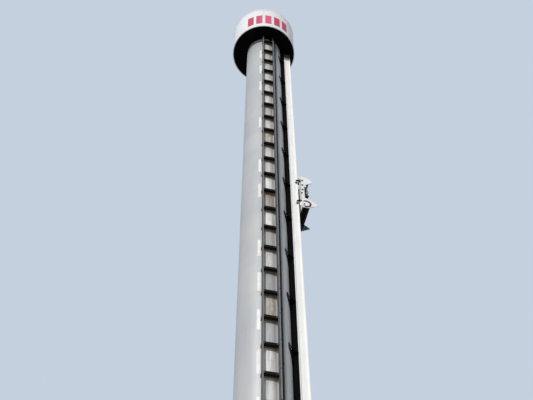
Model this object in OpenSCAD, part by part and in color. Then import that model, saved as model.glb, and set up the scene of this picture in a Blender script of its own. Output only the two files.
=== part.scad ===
// Fairground drop tower ride, a scale model at 1:10 of the full-size ride.
// Sizes are the model's own millimetres, so 100 here is one metre on the real tower.
// The origin is the centre of the base plate's underside, with +Z up.
// The front track faces -Y, and the drop track with its gondola faces +X.

/* [Tower] */
// Height of the whole ride
tower_h = 11900; // [9000:50:14000]
// Outside diameter of the column
column_od = 542; // [500:2:600]
// Plate thickness of the column
column_wall = 5; // [3:0.5:8]
// Radial width of the bolting ring inside each section end
ring_w = 22; // [14:1:30]
// Thickness of each bolting ring
ring_t = 12; // [8:1:16]

/* [Base] */
// Width of the base plate's edge outside the anchor circle
base_edge = 33; // [28:1:45]
// Thickness of the base plate
base_t = 24; // [16:1:36]
// Height of the stiffened foot of the column above the base plate
foot_h = 150; // [110:5:200]
// Number of anchor bolts, and of the stiffening gussets between them
anchor_count = 24; // [16:2:32]
// Diameter of the anchor bolt holes
anchor_d = 9; // [6:0.5:12]
// Distance of the anchor bolts outside the column
anchor_out = 46; // [40:1:54]
// Thickness of a gusset
gusset_t = 5; // [3:0.5:8]
// Set-back of a gusset from the base plate's edge
gusset_setback = 8; // [4:1:14]
// Height of a gusset's outer end
gusset_end_h = 14; // [8:1:24]
// Width of a gusset at its top, outside the column
gusset_top_w = 10; // [6:1:16]

/* [Head] */
// Outside diameter of the drum at the top
head_d = 1020; // [960:10:1080]
// Height of the drum
head_h = 663; // [500:1:800]
// Plate thickness of the drum's band
band_t = 8; // [5:0.5:12]
// Projection of the rims round the band's lower and upper edges
rim_out = 3; // [2:0.5:5]
// Height of each rim
rim_h = 30; // [20:1:45]
// Thickness of the soffit under the drum and of its roof
deck_t = 12; // [8:1:18]
// Set-back of the soffit above the band's lower edge
soffit_recess = 6; // [2:1:12]
// Set-back of the roof under the band's upper edge
roof_recess = 40; // [20:1:70]
// Number of radial frames inside the drum
head_frames = 12; // [8:1:16]
// Width of a radial frame's members
rib_chord = 60; // [40:1:90]
// Height of the cap on the roof
cap_h = 22; // [14:1:34]
// Inward slope of the cap's side
cap_slope = 40; // [20:1:60]

/* [Front track] */
// Height of the lowest cross frame
frame_z = 233; // [200:1:270]
// Spacing of the cross frames
frame_pitch = 338.5; // [300:0.5:380]
// Thickness of a cross frame
frame_t = 30; // [20:1:40]
// Distance from the column's wall to the front of the track
track_stand = 54; // [44:1:70]
// Outside width across the two rails
track_w = 172; // [150:2:200]
// Width of a rail's flanges
track_rail_w = 14; // [10:1:22]
// Depth of a rail
track_rail_depth = 28; // [20:1:34]
// Thickness of a rail's flanges and web
track_flange_t = 4; // [3:0.5:6]
// Height of the rails' and the duct's lower ends above the column's foot
track_rise = 10; // [4:1:20]
// Width of the cable duct beside the track
duct_w = 13; // [8:1:18]
// Depth of the cable duct
duct_depth = 20; // [14:1:26]
// Gap between the track and the duct
duct_gap = 12; // [6:1:20]

/* [Drop track] */
// Distance from the column's wall to the back of the rails
rail_stand = 54; // [44:1:70]
// Depth of a rail, from back to front
rail_depth = 95; // [80:1:110]
// Spacing of the two rails, centre to centre
rail_gauge = 150; // [130:2:170]
// Width of a rail's flanges
rail_w = 34; // [28:1:40]
// Thickness of a rail's flanges
rail_flange_t = 8; // [6:0.5:10]
// Thickness of a rail's web
rail_web_t = 6; // [4:0.5:8]
// Height of the rails' lower ends above the column's foot
rail_rise = 40; // [30:1:80]
// Thickness of the backing plates between the column and the rails
backing_t = 10; // [6:0.5:14]
// Thickness of a bracket's level plate
bracket_t = 12; // [8:1:16]
// Height of a bracket's curved saddle plate against the column
saddle_h = 56; // [40:2:80]
// Thickness of the saddle plate
saddle_t = 6; // [4:0.5:8]
// Angle that the saddle plate covers to each side
saddle_angle = 41; // [36:1:48]
// Angle of the ribs under a bracket's level plate, to each side
bracket_rib_angle = 21; // [20:0.5:23]
// Thickness of a bracket's ribs
bracket_rib_t = 4; // [3:0.5:6]
// Height of a bracket's ribs below its level plate
bracket_rib_h = 42; // [24:1:60]
// Height of the outer end of a bracket's ribs
bracket_rib_end_h = 5; // [3:0.5:10]
// Reach of a bracket's ribs outside the saddle plate
bracket_rib_reach = 34; // [20:1:36]
// Reach of the saddle plate's taper below its level part
saddle_taper = 150; // [100:5:220]
// Margin of the taper's lower end beside the rails
saddle_toe = 8; // [4:1:14]
// Height of the upper end of the brake fin
brake_top = 3300; // [2500:50:4000]
// Depth of the brake fin
brake_depth = 52; // [40:1:60]
// Thickness of the brake fin
brake_t = 6; // [4:0.5:8]
// Diameter of a landing buffer
buffer_d = 34; // [26:1:40]
// Height of the landing buffers above their frame
buffer_h = 110; // [80:5:116]
// Thickness of a buffer's cap
buffer_cap_t = 8; // [5:0.5:10]
// Margin of the landing frame round the buffers
buffer_margin = 8; // [4:1:14]

/* [Gondola] */
// Height of the gondola's underside as it is shown
gondola_z = 6985; // [6600:5:7400]
// Height of the gondola
gondola_h = 618; // [606:2:640]
// Number of seats in the row
seat_count = 6; // [4:1:8]
// Spacing of the seats
seat_pitch = 58; // [54:1:64]
// Width of the empty space between the last seat and an end frame
seat_margin = 6; // [4:0.5:10]
// Thickness of an end frame
end_t = 7; // [5:0.5:10]
// Depth of the carriage, from the rails' front to the seat backs
carriage_depth = 46; // [45:1:56]
// Thickness of the carriage's plates
carriage_t = 8; // [6:0.5:10]
// Gap between the rails' front and the carriage's side plates
carriage_gap = 12; // [8:0.5:14]
// Gap between the rails' sides and the carriage's side plates
carriage_side = 18; // [14:0.5:24]
// Outside diameter of the carriage's cross tubes
cross_tube_d = 20; // [16:0.5:22]
// Wall thickness of the cross tubes
cross_tube_wall = 3; // [2:0.5:5]
// Spacing of the cross tubes, and of the round holes between them
cross_tube_pitch = 95; // [86:1:100]
// Distance of the middle cross tube below the gondola's top
cross_tube_drop = 173; // [168:1:182]
// Diameter of the round holes in the carriage's plates
plate_hole_d = 20; // [14:0.5:22]
// Reach of the end frames' arms behind the carriage's plates
arm_reach = 32; // [20:1:40]
// Height of the end frames' upper arms
arm_top_h = 34; // [24:1:44]
// Height of the end frames' lower arms
arm_low_h = 112; // [96:2:124]
// Thickness of the white shells
shell_t = 4; // [3:0.5:6]

/* [Hood and canopy] */
// Reach of the hood ends beyond the seat backs
hood_reach = 106; // [96:1:120]
// Gap between the headrests and the hood's underside
hood_gap = 29.4; // [20:0.2:40]
// Height of the hood ends' tips below the top
hood_drop = 100; // [90:2:115]
// Radius of the hood ends' upper curve
hood_r = 108; // [104:1:140]
// Reach of the canopy over the seats
canopy_reach = 76; // [70:1:86]
// Height of the canopy's edge below its top
canopy_drop = 78; // [70:2:90]
// Radius of the canopy's upper curve
canopy_r = 90; // [84:1:120]

/* [Fairing] */
// Reach of the end frames' toes beyond the seat backs
toe_reach = 160; // [150:1:175]
// Height of the toes above the underside
toe_h = 70; // [55:1:80]
// Radius of the toes' upper curve
toe_r = 420; // [300:10:600]
// Reach of the end frames' flat underside beyond the seat backs
heel_reach = 35; // [20:1:60]
// Reach of the fairing under the seats
fairing_reach = 70; // [60:1:80]
// Height of the fairing's front edge above the underside
lip_h = 100; // [80:1:115]
// Radius of the fairing's upper curve
fairing_r = 120; // [100:5:200]
// Height of the fairing where it meets the seat backs
fairing_root_h = 186; // [178:2:192]
// Reach of the under tray beyond the seat backs
tray_reach = 50; // [40:1:56]
// Reach of the raised round noses beyond the seat backs
nose_reach = 110; // [100:1:120]
// Radius of the raised noses
nose_r = 92; // [84:1:96]
// Height of the raised noses on the end frames
nose_t = 3; // [2:0.5:5]

/* [Wheels] */
// Diameter of the running wheels in front of the rails
wheel_d = 32; // [26:1:36]
// Width of the running wheels
wheel_w = 20; // [14:1:24]
// Diameter of the keeper wheels behind the rail flanges
keeper_d = 22; // [18:1:24]
// Width of the keeper wheels
keeper_w = 10; // [7:0.5:11]
// Height of the lower wheels above the underside
wheel_low_z = 200; // [190:2:210]
// Height of the upper wheels above the gondola's top
wheel_rise = 2; // [-6:1:22]
// Diameter of the wheel axles
axle_d = 8; // [6:0.5:10]
// Running gap between a wheel and its rail
wheel_gap = 0.5; // [0.3:0.1:1]
// Radius of a wheel lug's end, round the keeper wheel's axle
lug_r = 14; // [12:0.5:16]
// Radius of a wheel lug's root, on the carriage plate
lug_root_r = 26; // [22:0.5:28]
// Thickness of the cheek plates over the lugs
cheek_t = 5; // [3:0.5:8]

/* [Seats] */
// Height of the seat pans above the underside
pan_z = 236; // [210:2:260]
// Depth of a seat pan
pan_depth = 52; // [44:1:60]
// Thickness of a seat pan
pan_t = 10; // [7:0.5:14]
// Radius of the roll at a seat pan's front edge
pan_roll = 6.2; // [4:0.2:8]
// Height of a seat back
back_h = 138; // [110:2:150]
// Thickness of a seat back
back_t = 12; // [8:0.5:16]
// Radius of a seat back's shoulders
shoulder_r = 14; // [8:1:20]
// Thickness of a side bolster
bolster_t = 5; // [3:0.5:7]
// Height of a side bolster above the seat pan
bolster_h = 52; // [40:1:64]
// Projection of a side bolster beyond the seat pan
bolster_out = 4; // [0:1:10]
// Radius of the cut at a side bolster's upper corner
bolster_cut = 36; // [24:1:44]
// Width of a headrest
headrest_w = 26; // [20:1:32]
// Height of a headrest
headrest_h = 34; // [26:1:40]
// Diameter of the shoulder restraint's tubes
bar_d = 7; // [5:0.5:9]
// Spacing of the two tubes of a shoulder restraint
bar_gauge = 30; // [26:1:36]
// Radius of the restraint's bend over the shoulders
bar_bend = 22; // [18:1:26]
// Length of the restraint's tubes below the bend
bar_drop = 98; // [80:2:110]
// Thickness of the plate between the restraint's tubes
chest_t = 5; // [3:0.5:5]
// Height of the plate between the restraint's tubes
chest_h = 48; // [36:1:60]
// Diameter of the shaft that carries the restraints
shaft_d = 10; // [8:0.5:12]
// Distance from the seat backs' panel to the shaft's axis
shaft_out = 9; // [7:0.5:12]
// Height of the shaft above the headrests
shaft_up = 8; // [7:0.5:10]
// Length of the restraint's tubes from the shaft to the bend
bar_out = 14; // [10:1:18]
// Width of the end frames' lugs round the shaft
shaft_lug_w = 24; // [20:1:30]
// Depth of the shaft lugs below its axis
shaft_lug_h = 12; // [9:1:16]
// Width of the brackets that carry the shaft between the seats
shaft_bracket_w = 8; // [5:0.5:12]
// Thickness of the brackets' foot plates, and of their wall in front of the shaft
shaft_bracket_t = 3; // [2:0.5:4]
// Height of the brackets' foot plates above and below the shaft's axis
shaft_bracket_h = 16; // [12:0.5:18]

/* [Hidden] */
$fn = 96;

seat_gap = 0.3;
fit_gap = 0.3;
brake_gap = 6;
magnet_t = 9;
tray_t = 3;
beam_h = 20;
beam_wall = 4;
beam_setback = 8;
section_count = 9;
section_step = 1;
column_r = column_od / 2;
column_hole_r = column_r + fit_gap;
head_bottom = tower_h - head_h;
band_inner = head_d / 2 - rim_out - band_t;
soffit_z = head_bottom + soffit_recess;
roof_z = tower_h - roof_recess - deck_t;
foot_top = base_t + foot_h;
column_top = roof_z - fit_gap;
section_h = floor((column_top - foot_top) / section_count / section_step) * section_step;
anchor_circle_d = column_od + 2 * anchor_out;
base_d = anchor_circle_d + 2 * base_edge;

frame_count = floor((soffit_z - frame_t - frame_z) / frame_pitch) + 1;
track_front = column_r + track_stand;
track_rail_x = (track_w - track_rail_w) / 2;
track_back = track_front - track_rail_depth;
track_foot_z = foot_top + track_rise;
duct_x = track_w / 2 + duct_gap;
duct_wall_y = sqrt(column_r * column_r - (duct_x + duct_w / 2) * (duct_x + duct_w / 2));

bracket_pitch = 2 * frame_pitch;
bracket_z = frame_z + 1.5 * frame_pitch;
bracket_count = floor((soffit_z - saddle_h - bracket_z) / bracket_pitch) + 1;
rail_back = column_r + rail_stand;
rail_front = rail_back + rail_depth;
rail_foot_z = foot_top + rail_rise;
rail_y = rail_gauge / 2;
rail_side = rail_y + rail_w / 2;

row_w = seat_count * seat_pitch + 2 * seat_margin;
end_y = row_w / 2;
back_x = rail_front + carriage_depth;
panel_x = back_x + shell_t;
hood_top = gondola_z + gondola_h;
fairing_top = gondola_z + fairing_root_h;
tray_front = panel_x + tray_reach;
carriage_x = rail_front + carriage_gap;
carriage_y = rail_side + carriage_side;
arm_x = carriage_x - arm_reach;
cross_tube_x = (carriage_x + back_x) / 2;
cross_tube_z = hood_top - cross_tube_drop;
landing_front = cross_tube_x + buffer_d / 2 + buffer_margin;
wheel_x = rail_front + wheel_gap + wheel_d / 2;
keeper_x = rail_front - rail_flange_t - wheel_gap - keeper_d / 2;
wheel_levels = [gondola_z + wheel_low_z, hood_top + wheel_rise];
pan_level = gondola_z + pan_z;
seat_inner = seat_pitch - bolster_t - 2 * seat_gap;
shaft_x = panel_x + shaft_out;
headrest_top = pan_level + pan_t + back_h + headrest_h + 2 * seat_gap;
restraint_z = headrest_top + shaft_up;
hood_low = headrest_top + hood_gap;
hood_root_h = hood_top - hood_low;

// Centre of the circle of radius r through a and b, with the curve bulging away from it
function arc_centre(a, b, r) =
    let (d = b - a, l = norm(d), m = (a + b) / 2, h = sqrt(r * r - l * l / 4))
    m + [d[1], -d[0]] / l * h;

// I-section that is centred on X and runs from y = 0 to y = depth
module i_section(width, depth, flange_t, web_t) {
    translate([-width / 2, 0]) square([width, flange_t]);
    translate([-width / 2, depth - flange_t]) square([width, flange_t]);
    translate([-web_t / 2, 0]) square([web_t, depth]);
}

// Cylinder along Y, centred on its place
module y_cylinder(d, length) {
    rotate([90, 0, 0]) cylinder(d = d, h = length, center = true);
}

// Profile in the X-Z plane, made solid between two Y values
module across(y0, y1) {
    translate([0, y1, 0]) rotate([90, 0, 0]) linear_extrude(height = y1 - y0) children();
}

module base_plate() {
    color("silver") {
        difference() {
            cylinder(d = base_d, h = base_t);
            for (i = [0 : anchor_count - 1])
                rotate([0, 0, (i + 0.5) * 360 / anchor_count])
                    translate([anchor_circle_d / 2, 0, -1]) cylinder(d = anchor_d, h = base_t + 2);
        }
        rotate_extrude() foot_profile();
        for (i = [0 : anchor_count - 1])
            rotate([90, 0, i * 360 / anchor_count])
                translate([0, 0, -gusset_t / 2]) linear_extrude(height = gusset_t) foot_gusset();
    }
}

// Half section of the foot: the wall, and the bolting ring at its top
module foot_profile() {
    translate([column_r - column_wall, base_t]) square([column_wall, foot_h]);
    translate([column_r - ring_w, foot_top - ring_t]) square([ring_w, ring_t]);
}

module foot_gusset() {
    inside = column_r - column_wall / 2;
    outside = base_d / 2 - gusset_setback;
    high = foot_top - ring_t;
    polygon([
        [inside, base_t],
        [outside, base_t],
        [outside, base_t + gusset_end_h],
        [column_r + gusset_top_w, high],
        [inside, high]
    ]);
}

// One rolled section of the column, with a bolting ring inside each end; the top one takes the rest
module column_section(i) {
    low = foot_top + i * section_h;
    high = i < section_count - 1 ? low + section_h : column_top;
    color("lightgray")
        rotate_extrude() {
            translate([column_r - column_wall, low]) square([column_wall, high - low]);
            translate([column_r - ring_w, low]) square([ring_w, ring_t]);
            translate([column_r - ring_w, high - ring_t]) square([ring_w, ring_t]);
        }
}

// Band of the drum, with a rim round its lower and its upper edge
module head_band() {
    wall = band_inner + band_t;
    color("white")
        rotate_extrude() {
            translate([band_inner, head_bottom]) square([band_t, head_h]);
            translate([wall, head_bottom]) square([rim_out, rim_h]);
            translate([wall, tower_h - rim_h]) square([rim_out, rim_h]);
        }
}

module head_soffit() {
    color("black")
        translate([0, 0, soffit_z])
            difference() {
                cylinder(r = band_inner, h = deck_t);
                translate([0, 0, -1]) cylinder(r = column_hole_r, h = deck_t + 2);
            }
}

// Roof of the drum: it closes the column, and its edge lies inside the band
module head_roof() {
    color("gray") {
        translate([0, 0, roof_z]) cylinder(r = band_inner, h = deck_t);
        translate([0, 0, roof_z + deck_t]) cylinder(r1 = column_r, r2 = column_r - cap_slope, h = cap_h);
    }
}

// Radial frames between the column and the band, inside the drum
module head_ribs() {
    color("gray")
        for (i = [0 : head_frames - 1])
            rotate([90, 0, i * 360 / head_frames])
                translate([0, 0, -gusset_t / 2])
                    linear_extrude(height = gusset_t) rib_profile();
}

module rib_profile() {
    low = soffit_z + deck_t + fit_gap;
    inside = column_hole_r;
    width = band_inner - fit_gap - inside;
    height = roof_z - fit_gap - low;
    difference() {
        translate([inside, low]) square([width, height]);
        translate([inside + rib_chord, low + rib_chord])
            square([width - 2 * rib_chord, height - 2 * rib_chord]);
    }
}

// Rail of the front track, at the given side
module front_rail(side) {
    color("dimgray")
        translate([side * track_rail_x, -track_front, track_foot_z])
            linear_extrude(height = soffit_z - track_foot_z)
                i_section(track_rail_w, track_rail_depth, track_flange_t, track_flange_t);
}

// Plan of a cross frame: it fits between the rails and behind them, and is hollowed to the column
module frame_plan() {
    inner = track_w / 2 - track_rail_w - fit_gap;
    outer = track_w / 2;
    back = -column_r * cos(asin(outer / column_r)) + track_rail_w;
    difference() {
        polygon([
            [-inner, -track_front],
            [inner, -track_front],
            [inner, -track_back],
            [outer, -track_back],
            [outer, back],
            [-outer, back],
            [-outer, -track_back],
            [-inner, -track_back]
        ]);
        circle(r = column_hole_r);
    }
}

module front_track_frames() {
    color("black")
        for (i = [0 : frame_count - 1])
            translate([0, 0, frame_z + i * frame_pitch])
                linear_extrude(height = frame_t) frame_plan();
}

module cable_duct() {
    color("dimgray")
        translate([0, 0, track_foot_z])
            linear_extrude(height = soffit_z - track_foot_z)
                difference() {
                    translate([duct_x, -duct_wall_y - duct_depth]) square([duct_w, 2 * duct_depth]);
                    circle(r = column_hole_r);
                }
}

module drop_rail(side) {
    color("white")
        translate([rail_back, side * rail_y, rail_foot_z])
            linear_extrude(height = soffit_z - rail_foot_z)
                rotate(-90) i_section(rail_w, rail_depth, rail_flange_t, rail_web_t);
}

// Strip in plan behind a rail, from inside the column's wall to the rail's back
module backing_strip(side, width) {
    inside = column_r - ring_w;
    translate([inside, side * rail_y - width / 2]) square([rail_back - inside, width]);
}

// Plates that close the space between the column and the rails
module drop_track_backing() {
    color("black")
        translate([0, 0, rail_foot_z])
            linear_extrude(height = soffit_z - rail_foot_z)
                difference() {
                    for (side = [-1, 1])
                        backing_strip(side, backing_t);
                    circle(r = column_hole_r);
                }
}

// Slots that the brackets leave for the backing plates
module backing_slots() {
    translate([0, 0, rail_foot_z])
        linear_extrude(height = soffit_z - rail_foot_z)
            for (side = [-1, 1])
                backing_strip(side, backing_t + 2 * fit_gap);
}

// Curved plate against the column, seen from the front of the drop track: level at the top, tapered below
module saddle(taper) {
    level = (column_hole_r + saddle_t) * sin(saddle_angle);
    toe = rail_side + saddle_toe;
    intersection() {
        translate([0, 0, -saddle_h / 2 - taper])
            linear_extrude(height = saddle_h + taper)
                difference() {
                    circle(r = column_hole_r + saddle_t);
                    circle(r = column_hole_r);
                }
        rotate([90, 0, 90])
            linear_extrude(height = 2 * column_r)
                polygon([
                    [-level, saddle_h / 2],
                    [-level, -saddle_h / 2],
                    [-toe, -saddle_h / 2 - taper],
                    [toe, -saddle_h / 2 - taper],
                    [level, -saddle_h / 2],
                    [level, saddle_h / 2]
                ]);
    }
}

// Rib under the level plate, on the saddle plate
module bracket_rib() {
    foot = column_hole_r + saddle_t / 2;
    outer = column_hole_r + saddle_t + bracket_rib_reach;
    rotate([90, 0, 0])
        translate([0, 0, -bracket_rib_t / 2])
            linear_extrude(height = bracket_rib_t)
                polygon([
                    [foot, 0],
                    [foot, -bracket_t / 2 - bracket_rib_h],
                    [foot + saddle_t, -bracket_t / 2 - bracket_rib_h],
                    [outer, -bracket_t / 2 - bracket_rib_end_h],
                    [outer, 0]
                ]);
}

// Plan of a bracket's level plate, from the saddle's ends to the backs of the rails
module bracket_plan() {
    seat = column_hole_r + saddle_t / 2;
    difference() {
        polygon([
            [seat * cos(saddle_angle), -seat * sin(saddle_angle)],
            [rail_back, -rail_side],
            [rail_back, rail_side],
            [seat * cos(saddle_angle), seat * sin(saddle_angle)]
        ]);
        circle(r = seat);
    }
}

module drop_track_brackets() {
    color("black")
        difference() {
            for (i = [0 : bracket_count - 1])
                translate([0, 0, bracket_z + i * bracket_pitch]) {
                    saddle(saddle_taper);
                    translate([0, 0, -bracket_t / 2]) linear_extrude(height = bracket_t) bracket_plan();
                    for (side = [-1, 1])
                        rotate([0, 0, side * bracket_rib_angle]) bracket_rib();
                }
            backing_slots();
        }
}

// Plate that the linear brakes run on, between the rails
module brake_fin() {
    color("silver")
        translate([rail_back, -brake_t / 2, rail_foot_z])
            cube([brake_depth, brake_t, brake_top - rail_foot_z]);
}

// Bottom frame: it holds the rails' feet and carries the buffers
module landing_frame() {
    color("dimgray")
        difference() {
            translate([0, 0, rail_foot_z - bracket_t]) {
                linear_extrude(height = bracket_t) {
                    bracket_plan();
                    translate([rail_back, -rail_side]) square([landing_front - rail_back, 2 * rail_side]);
                }
                translate([0, 0, saddle_h / 2]) saddle(0);
            }
            backing_slots();
        }
}

module landing_buffers() {
    waist_d = buffer_d * 0.6;
    sleeve_h = buffer_h * 0.6;
    color("black")
        for (side = [-1, 1])
            translate([cross_tube_x, side * rail_y, rail_foot_z]) {
                cylinder(d = buffer_d, h = sleeve_h);
                cylinder(d = waist_d, h = buffer_h);
                translate([0, 0, buffer_h]) cylinder(d = buffer_d, h = buffer_cap_t);
            }
}

// Outline from the side of a hood with the given reach, drop and curve, drawn in by inset
module hood_outline(reach, drop, r, inset) {
    root = [panel_x, hood_top];
    tip = root + [reach, -drop];
    intersection() {
        translate(arc_centre(root, tip, r)) circle(r = r - inset);
        polygon([
            [panel_x + inset, hood_low + inset],
            tip + [0, inset],
            tip + [0, hood_root_h],
            [panel_x + inset, hood_top + hood_root_h]
        ]);
    }
}

// Outline from the side of a fairing: its curved top, its front edge and its flat underside
module fairing_outline(reach, lip, r, heel, low, inset) {
    root = [panel_x, fairing_top];
    edge = [panel_x + reach, gondola_z + lip];
    intersection() {
        translate(arc_centre(root, edge, r)) circle(r = r - inset);
        polygon([
            [panel_x + inset, low + inset],
            [panel_x + heel - inset / 2, low + inset],
            edge + [-inset / 2, inset],
            edge + [0, fairing_root_h],
            [panel_x + inset, fairing_top + fairing_root_h]
        ]);
    }
}

// Round holes for the three cross tubes, in the X-Z plane
module cross_tube_holes() {
    for (i = [-1 : 1])
        translate([cross_tube_x, cross_tube_z + i * cross_tube_pitch])
            circle(d = cross_tube_d + 2 * fit_gap);
}

// Outline of the lug that reaches round a rail's flange, at the given height
module lug_outline(z) {
    root_x = back_x - lug_root_r;
    translate([keeper_x, z]) circle(r = lug_r);
    translate([keeper_x, z - lug_r]) square([root_x - keeper_x, 2 * lug_r]);
    translate([root_x, z]) circle(r = lug_root_r);
}

// Side plate of the carriage, with its wheel lugs, tube holes and open round holes
module carriage_outline() {
    low = gondola_z + tray_t;
    difference() {
        union() {
            translate([carriage_x, low]) square([back_x - carriage_x, wheel_levels[1] - low]);
            for (z = wheel_levels)
                lug_outline(z);
        }
        cross_tube_holes();
        for (i = [-0.5 : 1.5])
            translate([cross_tube_x, cross_tube_z + i * cross_tube_pitch])
                circle(d = plate_hole_d);
        for (z = wheel_levels)
            for (x = [keeper_x, wheel_x])
                translate([x, z]) circle(d = axle_d + 2 * fit_gap);
    }
}

module carriage_plate(side) {
    near = side > 0 ? carriage_y : -carriage_y - carriage_t;
    color("whitesmoke") across(near, near + carriage_t) carriage_outline();
}

// Dark plates over the wheel lugs, which cover the axles' ends
module wheel_cheeks() {
    inside = carriage_y + carriage_t;
    color("black")
        for (side = [-1, 1])
            for (z = wheel_levels)
                across(side > 0 ? inside : -inside - cheek_t, side > 0 ? inside + cheek_t : -inside)
                    lug_outline(z);
}

module carriage_tubes() {
    length = 2 * (end_y + end_t);
    color("silver")
        for (i = [-1 : 1])
            translate([cross_tube_x, 0, cross_tube_z + i * cross_tube_pitch])
                difference() {
                    y_cylinder(cross_tube_d, length);
                    y_cylinder(cross_tube_d - 2 * cross_tube_wall, length + 2);
                }
}

// Wheel with its stub axle, which ends flush with the carriage plate
module wheel(d, width, y, side) {
    reach = carriage_y + carriage_t - y;
    translate([0, side * y, 0]) y_cylinder(d, width);
    translate([0, side * (y + reach / 2), 0]) y_cylinder(axle_d, reach);
}

module wheel_set(z) {
    keeper_y = rail_side - keeper_w / 2;
    color("dimgray")
        for (side = [-1, 1]) {
            translate([wheel_x, 0, z]) wheel(wheel_d, wheel_w, rail_y, side);
            translate([keeper_x, 0, z]) wheel(keeper_d, keeper_w, keeper_y, side);
        }
}

// Pair of plates that run beside the brake fin, held on the cross tubes
module brake_magnets() {
    inside = brake_t / 2 + brake_gap;
    reach = cross_tube_pitch + cross_tube_d;
    middle = cross_tube_z;
    back = rail_back + brake_gap;
    color("dimgray")
        for (side = [-1, 1])
            across(side > 0 ? inside : -inside - magnet_t, side > 0 ? inside + magnet_t : -inside)
                difference() {
                    translate([back, middle - reach])
                        square([back_x - brake_gap - back, 2 * reach]);
                    cross_tube_holes();
                }
}

// End frame from the side: the spine and its two arms, the hood's end and the toe
module end_solid_outline() {
    arm_r = arm_low_h / 2;
    translate([carriage_x, gondola_z]) square([panel_x - carriage_x, gondola_h]);
    translate([arm_x, hood_top - arm_top_h]) square([panel_x - arm_x, arm_top_h]);
    translate([arm_x + arm_r, gondola_z]) square([panel_x - arm_x - arm_r, arm_low_h]);
    translate([arm_x + arm_r, gondola_z + arm_r]) circle(r = arm_r);
    hood_outline(hood_reach, hood_drop, hood_r, 0);
    fairing_outline(toe_reach, toe_h, toe_r, heel_reach, gondola_z, 0);
    translate([panel_x, restraint_z - shaft_lug_h])
        square([shaft_lug_w, hood_low - restraint_z + 2 * shaft_lug_h]);
}

module end_outline() {
    difference() {
        end_solid_outline();
        cross_tube_holes();
        translate([shaft_x, restraint_z]) circle(d = shaft_d + 2 * fit_gap);
    }
}

// Raised round nose on the outer face of an end frame
module nose_outline() {
    intersection() {
        end_solid_outline();
        translate([panel_x + nose_reach - nose_r, gondola_z + nose_r]) circle(r = nose_r);
    }
}

module end_frame(side) {
    face = end_y + end_t;
    color("white") {
        across(side > 0 ? end_y : -face, side > 0 ? face : -end_y) end_outline();
        across(side > 0 ? face : -face - nose_t, side > 0 ? face + nose_t : -face) nose_outline();
    }
}

module hood() {
    color("white")
        across(-end_y, end_y)
            difference() {
                hood_outline(canopy_reach, canopy_drop, canopy_r, 0);
                hood_outline(canopy_reach, canopy_drop, canopy_r, shell_t);
            }
}

// Panel behind the seats, from the tray up to the hood's top
module back_panel() {
    color("whitesmoke")
        across(-end_y, end_y)
            translate([back_x, gondola_z + tray_t]) square([shell_t, gondola_h - tray_t]);
}

module foot_fairing() {
    low = gondola_z + tray_t;
    color("white")
        across(-end_y, end_y)
            difference() {
                fairing_outline(fairing_reach, lip_h, fairing_r, tray_reach, low, 0);
                fairing_outline(fairing_reach, lip_h, fairing_r, tray_reach, low, shell_t);
            }
}

module under_tray() {
    color("black")
        across(-end_y, end_y)
            translate([carriage_x, gondola_z]) square([tray_front - carriage_x, tray_t]);
}

// Hollow beam under the seat pans
module seat_beam() {
    depth = pan_depth - beam_setback;
    color("dimgray")
        across(-end_y, end_y)
            translate([panel_x, pan_level - beam_h])
                difference() {
                    square([depth, beam_h]);
                    translate([beam_wall, beam_wall]) square([depth - 2 * beam_wall, beam_h - 2 * beam_wall]);
                }
}

// Places its children once for each seat of the row
module each_seat() {
    for (i = [0 : seat_count - 1])
        translate([0, (i - (seat_count - 1) / 2) * seat_pitch, 0]) children();
}

// Seat pan with a rolled front edge
module seat_pans() {
    roll_x = panel_x + pan_depth - pan_roll;
    color("darkslategray")
        each_seat()
            across(-seat_inner / 2, seat_inner / 2) {
                translate([panel_x, pan_level]) square([pan_depth - pan_roll, pan_t]);
                translate([roll_x, pan_level + pan_roll]) circle(r = pan_roll);
            }
}

// Seat back with rounded shoulders
module seat_backs() {
    low = pan_level + pan_t + seat_gap;
    half = seat_inner / 2;
    shoulder_z = back_h - shoulder_r;
    color("darkslategray")
        each_seat()
            translate([panel_x, 0, low])
                rotate([90, 0, 90])
                    linear_extrude(height = back_t) {
                        translate([-half, 0]) square([2 * half, shoulder_z]);
                        translate([-half + shoulder_r, 0]) square([2 * half - 2 * shoulder_r, back_h]);
                        for (side = [-1, 1])
                            translate([side * (half - shoulder_r), shoulder_z]) circle(r = shoulder_r);
                    }
}

// Side wings between the seats, cut to a curve at the front
module seat_bolsters() {
    high = pan_t + bolster_h;
    depth = pan_depth + bolster_out;
    color("black")
        for (i = [0 : seat_count])
            translate([panel_x, (i - seat_count / 2) * seat_pitch, pan_level])
                across(-bolster_t / 2, bolster_t / 2)
                    difference() {
                        square([depth, high]);
                        translate([depth, high]) circle(r = bolster_cut);
                    }
}

module headrests() {
    low = pan_level + pan_t + back_h + 2 * seat_gap;
    round_z = headrest_h - headrest_w / 2;
    color("black")
        each_seat()
            translate([panel_x, 0, low])
                rotate([90, 0, 90])
                    linear_extrude(height = back_t) {
                        translate([-headrest_w / 2, 0]) square([headrest_w, round_z]);
                        translate([0, round_z]) circle(d = headrest_w);
                    }
}

// Brackets between the seats, which carry the restraints' shaft
module shaft_brackets() {
    reach = shaft_d / 2 + fit_gap + shaft_bracket_t;
    color("dimgray")
        for (i = [1 : seat_count - 1])
            translate([0, (i - seat_count / 2) * seat_pitch, 0])
                across(-shaft_bracket_w / 2, shaft_bracket_w / 2)
                    difference() {
                        union() {
                            translate([panel_x, restraint_z - shaft_bracket_h])
                                square([shaft_bracket_t, 2 * shaft_bracket_h]);
                            translate([panel_x, restraint_z - reach]) square([shaft_out, 2 * reach]);
                            translate([shaft_x, restraint_z]) circle(r = reach);
                        }
                        translate([shaft_x, restraint_z]) circle(d = shaft_d + 2 * fit_gap);
                    }
}

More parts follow.
